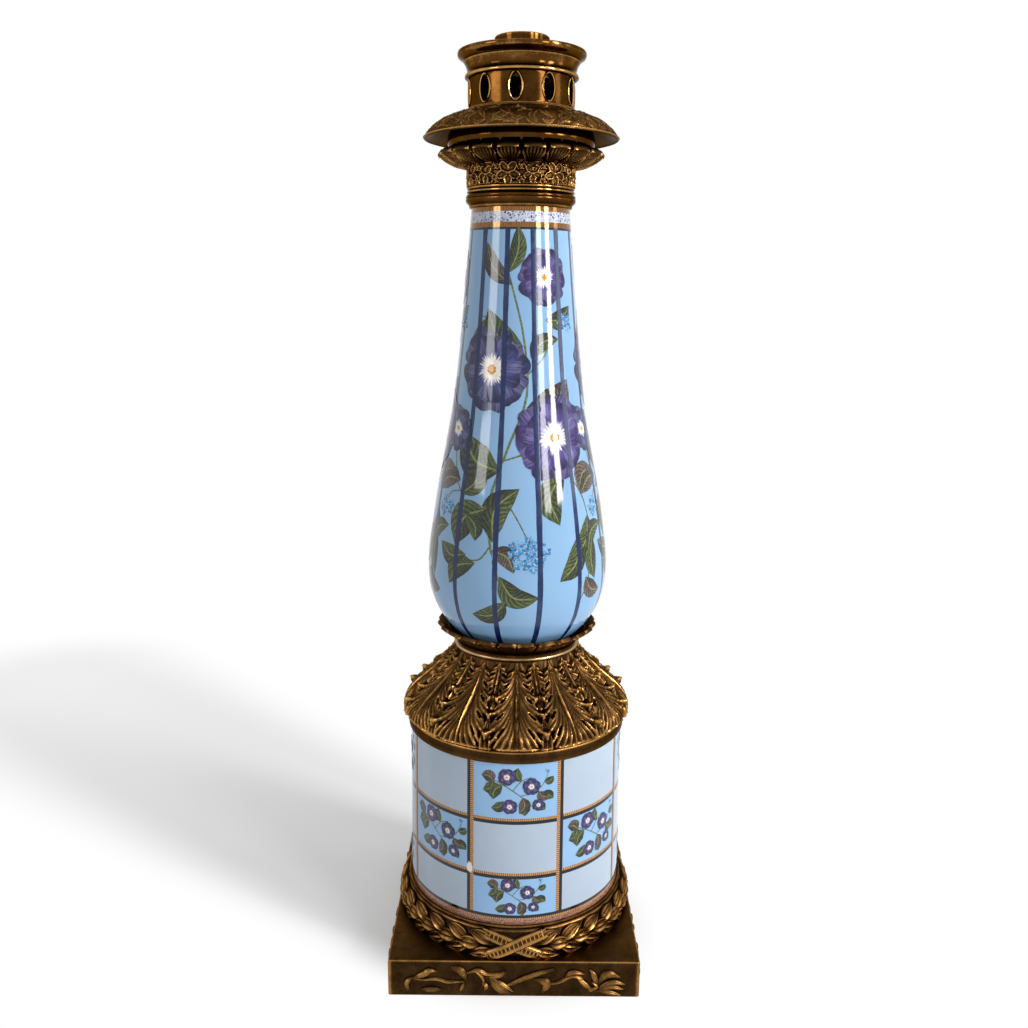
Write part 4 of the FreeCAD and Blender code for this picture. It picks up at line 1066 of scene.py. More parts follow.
# the panels with flowers: turn of the first, middle height and the posy's scale
POSY_PANELS = {
    "top_panels": (FRONT, HIGH_BORDER + 17.5, 0.40),
    "middle_panels": (FRONT + FULL_TURN / PANEL_COLUMNS, (HIGH_BORDER + LOW_BORDER) / 2 + 0.5, 0.40),
    "foot_panels": (FRONT, LOW_BORDER - 13.0, 0.33),
}
DRUM_BORE_SHARE = 0.885
DRUM_ROWS = 40


def make_drum():
    """The open porcelain cylinder, and the posies on every other of its panels."""
    bore = DRUM_RADIUS * DRUM_BORE_SHARE
    share = np.linspace(0, 1, DRUM_ROWS)
    outside = np.stack([
        DRUM_RADIUS + (DRUM_TOP_LOOK - DRUM_RADIUS) * share, DRUM_BASE + (DRUM_TOP - DRUM_BASE) * share
    ], axis=-1)
    line = np.concatenate([outside, [(bore, DRUM_TOP), (bore, DRUM_BASE)]])
    finished("painted_drum", lathe(line, sides=PORCELAIN_SIDES), DRUM_GLAZE, ["drum"])
    ground = Turned(outside[::-1])
    for name, (turn, level, scale) in POSY_PANELS.items():
        posy = Painting(ground, turn, DRUM_TOP - level, scale)
        posy.stem([(-44, 22), (-20, 12), (4, -4), (24, -22)], 0.8)
        posy.stem([(-4, 2), (8, 16), (22, 22)], 0.7)
        posy.stem([(6, -6), (24, -2), (38, 10), (46, 28)], 0.6)
        posy.bloom("violet", (-12, 22), 12.0, 5, 0.3, 1.0, 0.4)
        posy.bloom("blue", (22, 8), 12.0, 5, 0.8, 1.0, 0.4)
        posy.bloom("violet", (-8, -22), 10.5, 5, 1.0, 1.0, 0.5)
        posy.bloom("blue", (32, -20), 8.5, 5, 0.4, 1.0, 0.5)
        posy.leaves(POSY_LEAVES, 1.1, 1.3)
        posy.cluster((45, 29), 3.0, 3, 6)
        posy.finish("drum_" + name, PANEL_COLUMNS // 2)


# Bronze base

PLINTH_HALF, PLINTH_BOTTOM, PLINTH_TOP = span("plinth")
PLINTH_RELIEF = 1.6
PLINTH_FACE = PLINTH_HALF - PLINTH_RELIEF
PLINTH_EDGE = 0.6
PLINTH_EDGE_BAND = 0.6
PLINTH_HOLLOW = PLINTH_FACE - 4.0
PLINTH_PLATE = 4.5
PLINTH_HOLE = 8.0
PLINTH_TOP_STEPS = 10
PLINTH_SIDE_POINTS = 26


def square_ring(half, corner, height):
    """Points of a square with cut corners, more closely spaced at the corners."""
    share = np.sin(np.linspace(-1, 1, PLINTH_SIDE_POINTS) * math.pi / 2)
    side = np.stack(np.broadcast_arrays(share * (half - corner), -half, height), axis=-1)
    return np.concatenate([about_axis(side, quarter * FULL_TURN / 4) for quarter in range(4)])


# the sprig on each side of the plinth, in half widths and half heights from the side's middle:
# first the stems, then the blades, each with its tail, middle and tip and then its half widths
# in millimetres at the tail, along it and at the tip
SPRIG_STEM_SHARES = (
    ((-0.80, 0.02), (-0.72, -0.06), (-0.62, -0.02), (-0.53, -0.18), (-0.45, -0.16), (-0.39, -0.14)),
    ((-0.37, 0.34), (-0.31, 0.46), (-0.26, 0.16), (-0.24, -0.12), (-0.25, -0.42)),
    ((-0.36, 0.38), (-0.28, 0.44), (-0.22, 0.28), (-0.14, 0.30), (-0.08, 0.42)),
    ((0.22, -0.10), (0.30, -0.22), (0.38, -0.10), (0.46, 0.20), (0.53, 0.06), (0.58, -0.38),
     (0.62, -0.62)),
)
SPRIG_BLADE_SHARES = (
    ((-0.84, -0.62), (-0.85, -0.20), (-0.80, 0.10), 1.5, 1.7, 0.5),
    ((-0.80, 0.04), (-0.72, 0.26), (-0.62, 0.56), 0.6, 1.9, 0.5),
    ((-0.74, 0.30), (-0.68, 0.50), (-0.61, 0.44), 0.5, 1.3, 0.4),
    ((-0.74, -0.60), (-0.66, -0.60), (-0.58, -0.60), 0.5, 1.7, 0.5),
    ((-0.50, 0.66), (-0.42, 0.44), (-0.37, -0.10), 1.2, 2.3, 0.6),
    ((-0.44, 0.56), (-0.40, 0.28), (-0.38, 0.04), 0.6, 1.5, 0.4),
    ((-0.39, -0.14), (-0.41, -0.42), (-0.43, -0.74), 0.6, 1.3, 0.4),
    ((-0.36, 0.40), (-0.28, 0.52), (-0.20, 0.30), 0.6, 1.4, 0.4),
    ((-0.26, -0.16), (-0.22, -0.38), (-0.24, -0.66), 0.5, 1.6, 0.4),
    ((-0.22, 0.12), (-0.12, 0.24), (-0.06, 0.46), 0.5, 1.6, 0.5),
    ((-0.20, 0.14), (-0.12, -0.44), (-0.03, -0.84), 1.0, 3.0, 0.8),
    ((-0.14, -0.02), (-0.08, -0.32), (0.00, -0.70), 0.6, 1.6, 0.5),
    ((-0.07, -0.42), (0.12, 0.20), (0.32, 0.62), 1.2, 1.6, 0.9),
    ((0.16, 0.02), (0.26, -0.22), (0.22, -0.80), 0.7, 2.6, 0.5),
    ((0.40, 0.10), (0.46, 0.44), (0.56, 0.36), 0.7, 1.6, 0.5),
    ((0.50, 0.14), (0.56, -0.20), (0.62, -0.54), 1.2, 1.8, 1.0),
    ((0.60, -0.58), (0.66, -0.36), (0.62, -0.06), 1.4, 1.2, 0.5),
    ((0.66, -0.34), (0.64, 0.20), (0.60, 0.62), 0.8, 2.0, 0.5),
    ((0.66, -0.20), (0.74, 0.32), (0.84, 0.20), 0.9, 2.4, 0.6),
    ((0.68, -0.40), (0.78, -0.10), (0.88, -0.20), 0.8, 1.8, 0.5),
    ((0.68, -0.50), (0.78, -0.36), (0.87, -0.50), 0.8, 1.6, 0.5),
    ((0.66, -0.60), (0.76, -0.66), (0.85, -0.84), 0.8, 1.6, 0.5),
)
LEAF_CROWN = (0.0, 0.55, 0.85, 0.75, 1.0, 0.75, 0.85, 0.55, 0.0)
STEM_CROWN = (0.0, 0.6, 0.9, 0.6, 0.0)


def make_plinth():
    """The square casting with worn edges, hollow beneath, and a trailing sprig on each side."""
    e = PLINTH_EDGE
    top, foot = PLINTH_TOP, PLINTH_BOTTOM
    third = (top - foot) / 3
    face = PLINTH_FACE
    table = face - e - PLINTH_EDGE_BAND
    line = [
        (PLINTH_HOLLOW, foot, 0.3), (face - e, foot, 0.5), (face - e / 3, foot + e / 3, 0.6),
        (face, foot + e, 0.5), (face, foot + e + PLINTH_EDGE_BAND, 0.36), (face, foot + third, 0.34),
        (face, top - third, 0.34), (face, top - e - PLINTH_EDGE_BAND, 0.36), (face, top - e, 0.6),
        (face - e / 3, top - e / 3, 0.92), (face - e, top, 0.7), (table, top, 0.46),
    ]
    for index in range(PLINTH_TOP_STEPS):
        line.append((table - (face - 12) * (index + 1) / (PLINTH_TOP_STEPS + 1), top, 0.46))
    hollow_top = top - PLINTH_PLATE
    line += [
        (PLINTH_HOLE, top, 0.2), (PLINTH_HOLE, hollow_top, 0.2), (PLINTH_HOLLOW, hollow_top, 0.2),
    ]
    rings = [square_ring(half, min(e, half / 8), height) for half, height, _ in line]
    points = np.concatenate(rings)
    count = len(rings[0])
    relief = np.repeat([tone for _, _, tone in line], count)
    # the upright edges at the corners are rubbed bright
    off_face = face - np.abs(points[:, :2])
    worn = (off_face.min(axis=1) < 0.5) & (off_face < e + PLINTH_EDGE_BAND).all(axis=1)
    relief = np.where(worn, np.maximum(relief, 0.85), relief)
    body = Shape(points, net(len(rings), count, True, True), relief)
    ground = Flat(face, top)
    half_height = (top - foot) / 2

    def spots(shares):
        """Points of a path on the plinth's side, in millimetres."""
        return [(x * face, half_height * (1 - y)) for x, y in shares]

    blades = []
    for path in SPRIG_STEM_SHARES:
        blades.append(blade(
            ground, 0, spots(path), [0.9, 1.3, 0.9], [0.1, 0.3, 0.1], np.array(STEM_CROWN) * 1.3,
            rows=20, relief=(0.3, 0.85)))
    for tail, middle, tip, wide_tail, wide, wide_tip in SPRIG_BLADE_SHARES:
        blades.append(blade(
            ground, 0, spots((tail, middle, tip)), [wide_tail, wide, wide, wide_tip],
            [0.0, 0.5, 0.2], np.array(LEAF_CROWN) * 1.25, rows=16, relief=(0.2, 0.86)))
    bronze_piece("plinth_casting", body, "plinth", [all_round(together(blades), 4)])


RING_RADIUS, RING_BASE, RING_TOP = span("laurel_ring")
RING_LIP = DRUM_RADIUS + 1.5
# outside of the wreath from its lip down: share of the way out, share of the way up
WREATH_SHARES = (
    (0.0, 1.0), (0.02, 0.95), (-0.06, 0.88), (0.10, 0.84), (0.14, 0.80), (0.30, 0.72), (0.52, 0.60),
    (0.66, 0.44), (0.72, 0.30), (0.68, 0.16), (0.56, 0.05), (0.50, 0.0),
)
LAUREL_ROWS = ((7.4, -0.34), (12.0, 0.05), (16.8, 0.36))
LAUREL_PITCH = math.radians(12.2)
LAUREL_LENGTH = 14.2
LAUREL_HALF = 3.5
LAUREL_CROWN = (0.0, 1.0, 0.92, 0.42, 0.32, 0.34, 0.80, 0.34, 0.32, 0.42, 0.92, 1.0, 0.0)
LAUREL_WIDTHS = (1.2, LAUREL_HALF * 0.96, LAUREL_HALF, LAUREL_HALF * 0.62, 0.15)
# how far from the middle of the ribbons the leaves begin
LAUREL_GAP = 0.285
RIBBON_CROWN = (0.0, 0.8, 0.75, 0.2, 0.2, 0.75, 0.8, 0.0)
RIBBON_RIBS = 15
RIBBON_RIB_HALF = 2.6


def laurel_leaves(ground):
    """Rings of leaves and berries that run from the front ribbons round both sides to the back."""
    leaves = []
    berries = []
    pitch = LAUREL_PITCH
    count = int((math.pi - 2 * LAUREL_GAP) / pitch)
    half = LAUREL_LENGTH / 2
    for number, (along, tilt) in enumerate(LAUREL_ROWS):
        for heading in (1, -1):
            start = FRONT + heading * (LAUREL_GAP + 0.5 * pitch * (number % 2))
            drop = half * tilt
            path = [(-heading * half, along - drop), (0, along - 0.6), (heading * half, along + drop)]
            leaf = blade(
                ground, 0, path, LAUREL_WIDTHS, [0.3, 1.1, 0.9, 0.7], np.array(LAUREL_CROWN) * 1.3,
                rows=17, relief=(0.05, 1.0))
            leaves.append((leaf, count, start, heading * pitch))
            if number < 2:
                path = [(-0.9, along + 3.0), (0.0, along + 2.9), (0.9, along + 3.0)]
                berry = blade(
                    ground, 0, path, [0.2, 0.95, 0.2], [0.2, 0.9, 0.2], (0.0, 0.6, 0.8, 0.6, 0.0),
                    rows=7, relief=(0.3, 1.0))
                berries.append((berry, count, start + heading * pitch / 2, heading * pitch))
    return leaves + berries


def laurel_ribbons(ground, turn):
    """Two crossed ribbons with their ribs, at one turn."""
    bands = []
    for heading, lift in ((1, 0.9), (-1, 1.5)):
        path = [(-18 * heading, 5.0), (-6 * heading, 8.6), (6 * heading, 13.6), (17 * heading, 18.6)]
        bands.append(blade(
            ground, turn, path, [3.2, 3.4, 3.4, 3.6], [lift, lift], RIBBON_CROWN,
            rows=26, relief=(0.25, 0.95)))
        line = smooth(path, RIBBON_RIBS + 2)
        for before, spot, after in zip(line, line[1:], line[2:]):
            run = after - before
            side = np.array([-run[1], run[0]]) / np.hypot(*run) * RIBBON_RIB_HALF
            bands.append(blade(
                ground, turn, [spot - side, spot, spot + side], [0.72, 0.75, 0.72],
                [lift + 0.1, lift + 0.2, lift + 0.1], (0.0, 0.65, 0.65, 0.0), rows=5, relief=(0.4, 1.0)))
    return bands


def make_laurel_ring():
    """A wreath of laurel leaves and berries, bound by two crossed ribbed ribbons."""
    outside = np.array(shared_line(WREATH_SHARES, RING_LIP, RING_RADIUS, RING_BASE, RING_TOP))
    inner = DRUM_RADIUS + 0.3
    line = np.concatenate([
        [(inner, RING_BASE), (outside[-1][0], RING_BASE)], outside[::-1], [(inner, RING_TOP)],
    ])
    tone = [0.2, 0.3] + [0.25] * len(outside) + [0.5]
    for rubbed in (2, 10, 12, 13):
        tone[rubbed] = 0.75
    ground = Turned(outside)
    ribbons = laurel_ribbons(ground, FRONT) + laurel_ribbons(ground, -FRONT)
    wreath = together([lathe(line, tone), *ribbons])
    bronze_piece("laurel_wreath", wreath, "laurel_ring", laurel_leaves(ground))


# Acanthus cap, seat ring and calyx

# the hole for the rod in every bronze piece
ROD_HOLE_LOOK = 4.5
_, CAP_BASE, CAP_TOP = span("acanthus_cap")
CAP_TOP_RADIUS = 35.4
CAP_BAND_RADIUS = 64.2
CAP_BAND = CAP_TOP - 40.9
BELL_OUT = 62.8
# slope of the bell from the band up: share of the way in, share of the way up
BELL_SHARES = (
    (0.0, 0.0), (0.066, 0.12), (0.23, 0.279), (0.449, 0.45), (0.69, 0.643), (0.821, 0.768),
    (0.942, 0.89), (1.0, 1.0),
)
CAP_PLATE = 3.0
CAP_LEAVES = 12
# how far the leaves swell off the bell, from its top down
LEAF_SWELL = (0.0, 0.2, 0.5, 0.9, 1.4, 1.9, 2.5, 3.1, 3.6, 3.8, 3.3)
# lobes down one side of a leaf: where each springs from the midrib, then its fingers' tips
ACANTHUS_LOBES = (
    (0.5, ((4.6, 8.0), (6.6, 11.5), (7.4, 15.0))),
    (3.0, ((8.0, 18.0), (10.0, 22.0), (10.2, 26.0))),
    (7.0, ((11.4, 28.0), (13.4, 32.5), (13.0, 37.0))),
    (12.0, ((13.4, 38.5), (15.2, 42.5), (14.0, 46.8))),
    (19.0, ((11.4, 47.6), (8.0, 48.8), (4.0, 49.2))),
)
SMALL_LOBES = (
    (0.0, ((3.0, 4.6), (4.4, 7.4))),
    (4.0, ((5.0, 10.6), (6.0, 14.4), (5.2, 18.0))),
    (10.0, ((4.4, 20.5), (2.6, 24.5))),
)


def bell_line():
    """Outside of the cap from its top down to the ledge over its band."""
    return smooth(shared_line(BELL_SHARES, BELL_OUT, CAP_TOP_RADIUS, CAP_BAND, CAP_TOP)[::-1], 60)


def finger(side, root, tip):
    """A finger of a leaf: down beside the midrib, then sweeping out to its tip."""
    x, y = tip
    fall = y - root
    return [
        (side * 0.4, root), (side * 0.14 * x, root + 0.36 * fall),
        (side * 0.50 * x, root + 0.74 * fall), (side * x, y),
    ]


def carve_leaf(carving, lobes, length, centre, body, size=1.0):
    """A leaf of fanned fingers, with teardrop eyes between its lobes and a ridged midrib."""
    half_way = length * 0.5
    carving.mound([(0, 0.5), (0, half_way), (0, length)], body, [0.3, 0.8, 1.0, 0.8], centre, slab)
    eyes = []
    for side in (1, -1):
        last = None
        for root, tips in lobes:
            for number, tip in enumerate(tips):
                wide = 1.0 if number == 1 else 0.86
                path = finger(side, root + 1.4 * number, tip)
                carving.mound(
                    path, np.array([0.35, 0.6, 0.95, 1.85, 0.7]) * wide * size,
                    np.array([0.3, 0.7, 1.2, 1.9, 1.5]) * size, centre)
                carving.add(
                    path, np.array([0.2, 0.3, 0.42, 0.50, 0.25]) * size, [0.2, 0.4, 0.5, 0.5, 0.3], centre)
            if last is not None and root > 2.0:
                middle = (np.array(finger(side, root, tips[0])) + np.array(last)) / 2
                eyes.append([middle[2], middle[2] * 0.55 + middle[3] * 0.45])
            last = finger(side, root, tips[-1])
    for eye in eyes:
        carving.hollow(eye, [0.5 * size, 0.9 * size], -0.4 * size, centre)
    for side in (1, -1):
        for _, tips in lobes[1:-1]:
            tip = np.array([side * tips[1][0], tips[1][1]])
            carving.add(
                [tip - [side * 2.6, 2.0], tip], [2.3 * size, 2.7 * size], [0.5 * size, 1.9 * size],
                centre, dome)
    carving.add(
        [(0, 0.5), (0, half_way), (0, length - 0.5)], [1.9 * size, 2.4 * size, 1.8 * size],
        [-0.3, -0.5, -0.3], centre, dome)
    carving.add(
        [(0, 0.2), (0, half_way), (0, length)], [0.7 * size, 0.95 * size, 0.7 * size], [0.7, 1.7, 1.5],
        centre)


def make_cap():
    """The bell of acanthus leaves, with small leaves and rimmed drops between, on a plain band."""
    ground = Turned(bell_line())
    end = ground.length
    pitch = FULL_TURN / CAP_LEAVES
    carving = Carving(ground, pitch, 54, 86)
    carve_leaf(carving, SMALL_LOBES, 28.0, pitch / 2, [1.6, 4.0, 1.4], 0.85)
    carve_leaf(carving, ACANTHUS_LOBES, 48.8, 0.0, [2.6, 6.0, 8.6, 10.6, 11.6, 11.0])
    carving.mound([(0, 33), (0, 41), (0, 49.5)], [0.6, 2.6, 3.4], [1.2, 2.2, 2.2], pitch / 2, rimmed)
    carving.add([(0, 34), (0, 49)], [0.6, 0.9], [0.5, 1.3], pitch / 2)
    # a scalloped hem along the foot of the bell
    half = pitch * BELL_OUT / 2
    for wave in range(4):
        left = -half + half / 2 * wave
        drop = 1.7 - 0.7 * (wave % 2)
        carving.mound(
            [(left, end - 0.5), (left + half * 0.25, end - drop), (left + half / 2, end - 0.5)],
            [0.55, 0.65, 0.55], [1.5, 1.9, 1.5], 0.0, roof, carries=False)
    lift = carving.lift(LEAF_SWELL)
    lift[-1] = 0.3
    tones = carving.tones(lift, 6, 0.62, 0.50) - 0.12 * (1 - carving.cover)
    plate_low = CAP_TOP - CAP_PLATE
    inner = [
        (CAP_TOP_RADIUS - CAP_PLATE, CAP_TOP), (CAP_TOP_RADIUS - CAP_PLATE, plate_low),
        (BELL_OUT - 9.3, CAP_BAND + 9.9), (BELL_OUT - 4.0, CAP_BAND - 1.0), (BELL_OUT, CAP_BAND - 1.0),
    ]
    cell = carving.cell(lift, tones, inner, [0.3, 0.1, 0.05, 0.05, 0.1])
    spigot = DRUM_TOP_LOOK - 5.9
    band = CAP_BAND_RADIUS
    base = lathe([
        (spigot - 2.0, CAP_BASE), (spigot, CAP_BASE), (spigot, DRUM_TOP), (band - 0.35, DRUM_TOP),
        (band, DRUM_TOP + 0.35), (band, DRUM_TOP + 3.0), (band, CAP_BAND - 1.3),
        (band - 0.15, CAP_BAND - 0.9), (band - 0.1, CAP_BAND - 0.4), (band - 0.5, CAP_BAND),
        (BELL_OUT - 2.0, CAP_BAND + 0.05), (spigot - 2.0, CAP_BAND + 0.05),
    ], [0.2, 0.2, 0.2, 0.55, 0.62, 0.36, 0.40, 0.85, 0.85, 0.7, 0.15, 0.1])
    plate_edge = CAP_TOP_RADIUS - CAP_PLATE + 0.1
    plate = lathe([
        (ROD_HOLE_LOOK, plate_low), (plate_edge, plate_low), (plate_edge, CAP_TOP),
        (ROD_HOLE_LOOK, CAP_TOP),
    ], 0.2)
    bronze_piece("acanthus_bell", together([base, plate]), "acanthus_cap",
                 [all_round(cell, CAP_LEAVES)], crease=CARVED_CREASE)


SEAT_RADIUS, SEAT_BASE, SEAT_TOP = span("seat_ring")


def rounded(radius, low, high, bulge):
    """Three points of a small half-round moulding between two levels."""
    return [(radius, low), (radius + bulge, (low + high) / 2), (radius, high)]


def make_seat_ring():
    """A thin ring of two small half-round mouldings."""
    r = SEAT_RADIUS - 1.0
    height = SEAT_TOP - SEAT_BASE
    line = [(ROD_HOLE_LOOK, SEAT_BASE), (r - 0.5, SEAT_BASE)]
    line += rounded(r, SEAT_BASE + height * 0.06, SEAT_BASE + height * 0.46, 0.9)
    line += [(r, SEAT_BASE + height * 0.5)]
    line += rounded(r + 0.2, SEAT_BASE + height * 0.56, SEAT_BASE + height * 0.94, 1.0)
    line += [(r - 0.3, SEAT_TOP), (ROD_HOLE_LOOK, SEAT_TOP)]
    tone = [0.2, 0.5, 0.9, 1.1, 0.9, 0.4, 0.9, 1.1, 0.9, 0.5, 0.2]
    bronze_piece("seat_moulding", lathe(line, tone), "seat_ring", (), RUBBED_BRONZE, CARVED_CREASE)


CALYX_RADIUS, CALYX_BASE, CALYX_TOP = span("calyx")
CALYX_PETALS = 12
CALYX_FOOT = 33.0


def make_calyx():
    """Twelve two-lobed petals that hold the foot of the vase, with rolled and rubbed rims."""
    foot = CALYX_FOOT
    outside = smooth([
        (CALYX_RADIUS - 0.6, CALYX_TOP - 0.3), (CALYX_RADIUS - 2.8, CALYX_TOP - 2.0),
        (CALYX_RADIUS - 6.4, CALYX_TOP - 4.9), (foot + 3.0, CALYX_BASE + 2.0), (foot, CALYX_BASE),
    ], 40)
    ground = Turned(outside)
    pitch = FULL_TURN / CALYX_PETALS
    end = ground.length
    half = pitch * CALYX_RADIUS / 2
    carving = Carving(ground, pitch, 44, 24)
    for centre in (-pitch / 4, pitch / 4):
        carving.mound(
            [(0, 0.5), (0, end * 0.5), (0, end * 0.9)], [half * 0.50, half * 0.44, half * 0.34],
            [1.0, 0.7, 0.3], centre)
        carving.mound(
            [(-half * 0.5, 0.5), (0, 0.35), (half * 0.5, 0.5)], [0.6, 0.75, 0.6], [1.7, 2.1, 1.7],
            centre, roof)
    carving.add([(0, 0), (0, end * 0.45)], [0.7, 0.3], [-0.9, -0.2])
    carving.add([(0, 0), (0, end * 0.75)], [1.0, 0.5], [-1.7, -0.5], pitch / 2)
    lift = carving.lift()
    share = np.abs(carving.angle) / (pitch / 2)
    dips = 2.8 * np.exp(-((1 - share) / 0.16) ** 2) + 1.3 * np.exp(-(share / 0.15) ** 2)
    cell = carving.shell(lift, carving.tones(lift, 5, 0.9, 0.62), 1.1, dips, 0.4)
    inner = [(r - 1.3, z + 0.8) for r, z in outside[14:]]
    line = [(ROD_HOLE_LOOK, CALYX_BASE), (foot - 1.0, CALYX_BASE), (foot - 0.6, CALYX_BASE + 0.6)]
    line += [inner[0], (inner[0][0] - 1.0, inner[0][1])] + [(r - 0.8, z + 0.3) for r, z in inner[1:-8]]
    line += [(foot - 2.0, CALYX_BASE + 2.5), (ROD_HOLE_LOOK, CALYX_BASE + 2.5)]
    bronze_piece("calyx_petals", lathe(line, 0.2), "calyx", [all_round(cell, CALYX_PETALS)],
                 crease=CUP_CREASE)


# Bronze head

COLLAR_RADIUS, COLLAR_BASE, _ = span("neck_collar")
FRIEZE_RADIUS, FRIEZE_BASE, FRIEZE_TOP = span("frieze_band")
LOTUS_RADIUS, _, LOTUS_TOP = span("lotus_ring")
SPACER_RADIUS, SPACER_BASE, SPACER_TOP = span("spacer_ring")
PAN_RADIUS, PAN_LOW, PAN_TOP = span("drip_pan")
GALLERY_RADIUS, _, GALLERY_TOP = span("gallery")
CUP_RADIUS, CUP_BASE, CUP_TOP = span("cup")
NOZZLE_FLANGE, NOZZLE_BASE, NOZZLE_TOP = span("nozzle")
NECK_RADIUS = VASE_RADIUS * VASE_SHARES[-1][1]


COLLAR_SHARES = (
    (0.0, 0.0), (0.30, 0.02), (0.45, 0.10), (0.42, 0.16), (0.70, 0.22), (0.95, 0.30), (1.04, 0.38),
    (1.04, 0.44), (0.92, 0.47), (1.0, 0.50), (1.0, 0.57), (0.85, 0.64), (0.58, 0.67), (0.55, 0.70),
    (0.78, 0.73), (0.84, 0.78), (0.74, 0.82), (0.56, 0.84), (0.56, 0.87), (0.74, 0.90), (0.80, 0.94),
    (0.66, 1.0),
)
COLLAR_TONES = (
    0.3, 0.6, 0.8, 0.2, 0.4, 0.5, 0.6, 0.6, 0.05, 0.5, 0.5, 0.4, 0.05, 0.1, 0.7, 0.9, 0.5, 0.05, 0.05,
    0.7, 0.9, 0.5,
)


def make_collar():
    """The moulded collar on the vase's neck, with the spigot that goes into the neck."""
    top = FRIEZE_BASE
    spigot = NECK_RADIUS - 5.0
    line = [(ROD_HOLE_LOOK, COLLAR_BASE), (spigot, COLLAR_BASE), (spigot, VASE_TOP)]
    line += shared_line(COLLAR_SHARES, NECK_RADIUS, COLLAR_RADIUS, VASE_TOP, top) + [(ROD_HOLE_LOOK, top)]
    tone = [0.2, 0.2, 0.2, *COLLAR_TONES, 0.3]
    bronze_piece("neck_moulding", lathe(line, tone), "neck_collar", (), PLAIN_BRONZE, CUP_CREASE)


FRIEZE_UNITS = 7
FRIEZE_FIRST_TURN = math.radians(-13.7)


def carve_blossom(carving, spot, size, petals, turn):
    """A flower of hollow petals with raised rims, and a knob in its middle."""
    middle = np.array(spot)
    half = size * 2.0 / petals
    for index in range(petals):
        angle = turn + FULL_TURN / petals * index
        run = np.array([math.cos(angle), math.sin(angle)]) * (size - half * 0.6)
        path = [middle + run * 0.20, middle + run * 0.62, middle + run]
        carving.mound(path, [half * 0.40, half, half * 0.85], [1.1, 1.7, 1.6], profile=rimmed)
        carving.add([middle + run * 0.3, middle + run * 0.8], [0.34, 0.34], [0.4, 0.4])
    knob = np.array([size * 0.08, 0])
    carving.mound([middle - knob, middle + knob], [size * 0.20, size * 0.20], [1.9, 1.9])


def make_frieze():
    """The short drum with its row of large and small blossoms."""
    height = FRIEZE_TOP - FRIEZE_BASE
    ground_radius = FRIEZE_RADIUS - 0.9
    ground = Turned(smooth([(ground_radius, FRIEZE_TOP), (ground_radius, FRIEZE_BASE)], 12))
    pitch = FULL_TURN / FRIEZE_UNITS
    unit = pitch * ground_radius
    carving = Carving(ground, pitch, 84, 38)
    for across, along, size, petals, turn in (
        (0.0, 0.52, 6.0, 5, 0.32), (0.5, 0.56, 4.7, 5, 1.57), (0.27, 0.22, 2.3, 3, 0.5),
        (0.73, 0.80, 2.3, 3, 2.2), (0.74, 0.20, 2.2, 3, 0.5), (0.27, 0.82, 2.2, 3, 1.4),
    ):
        carve_blossom(carving, (unit * across, height * along), size, petals, turn)
    for across, along, lean in (
        (0.15, 0.10, 1), (0.85, 0.12, -1), (0.38, 0.12, 1), (0.62, 0.90, -1), (0.14, 0.93, -1),
    ):
        spot = np.array([unit * across, height * along])
        step = [lean * 1.2, 0.5]
        carving.mound([spot - step, spot + step], [0.5, 0.5], [1.0, 1.0], profile=rimmed)
    for along, wide, tall in ((0.45, 0.45, 1.1), (height - 0.5, 0.5, 1.2)):
        carving.mound([(-unit / 2, along), (unit / 2, along)], [wide, wide], [tall, tall], profile=roof)
    lift = carving.lift()
    inner = FRIEZE_RADIUS - 3.0
    cell = carving.cell(
        lift, carving.tones(lift, 6, 0.9, 0.56), [(inner, FRIEZE_TOP), (inner, FRIEZE_BASE)], [0.2, 0.2])
    low, high = FRIEZE_BASE + 1.0, FRIEZE_TOP - 1.0
    hub = lathe([(ROD_HOLE_LOOK, low), (inner + 0.5, low), (inner + 0.5, high), (ROD_HOLE_LOOK, high)], 0.2)
    bronze_piece("flower_frieze", hub, "frieze_band",
                 [all_round(cell, FRIEZE_UNITS, FRIEZE_FIRST_TURN)], crease=CARVED_CREASE)


LOTUS_PETALS = 20
LOTUS_FIRST_TURN = math.radians(9)
LOTUS_BASE = FRIEZE_TOP
# a petal's outside from its rim down: share of the way out, share of the way up
LOTUS_SHARES = ((1.0, 1.0), (0.86, 0.76), (0.66, 0.47), (0.45, 0.26), (0.2, 0.10), (0.0, 0.03))


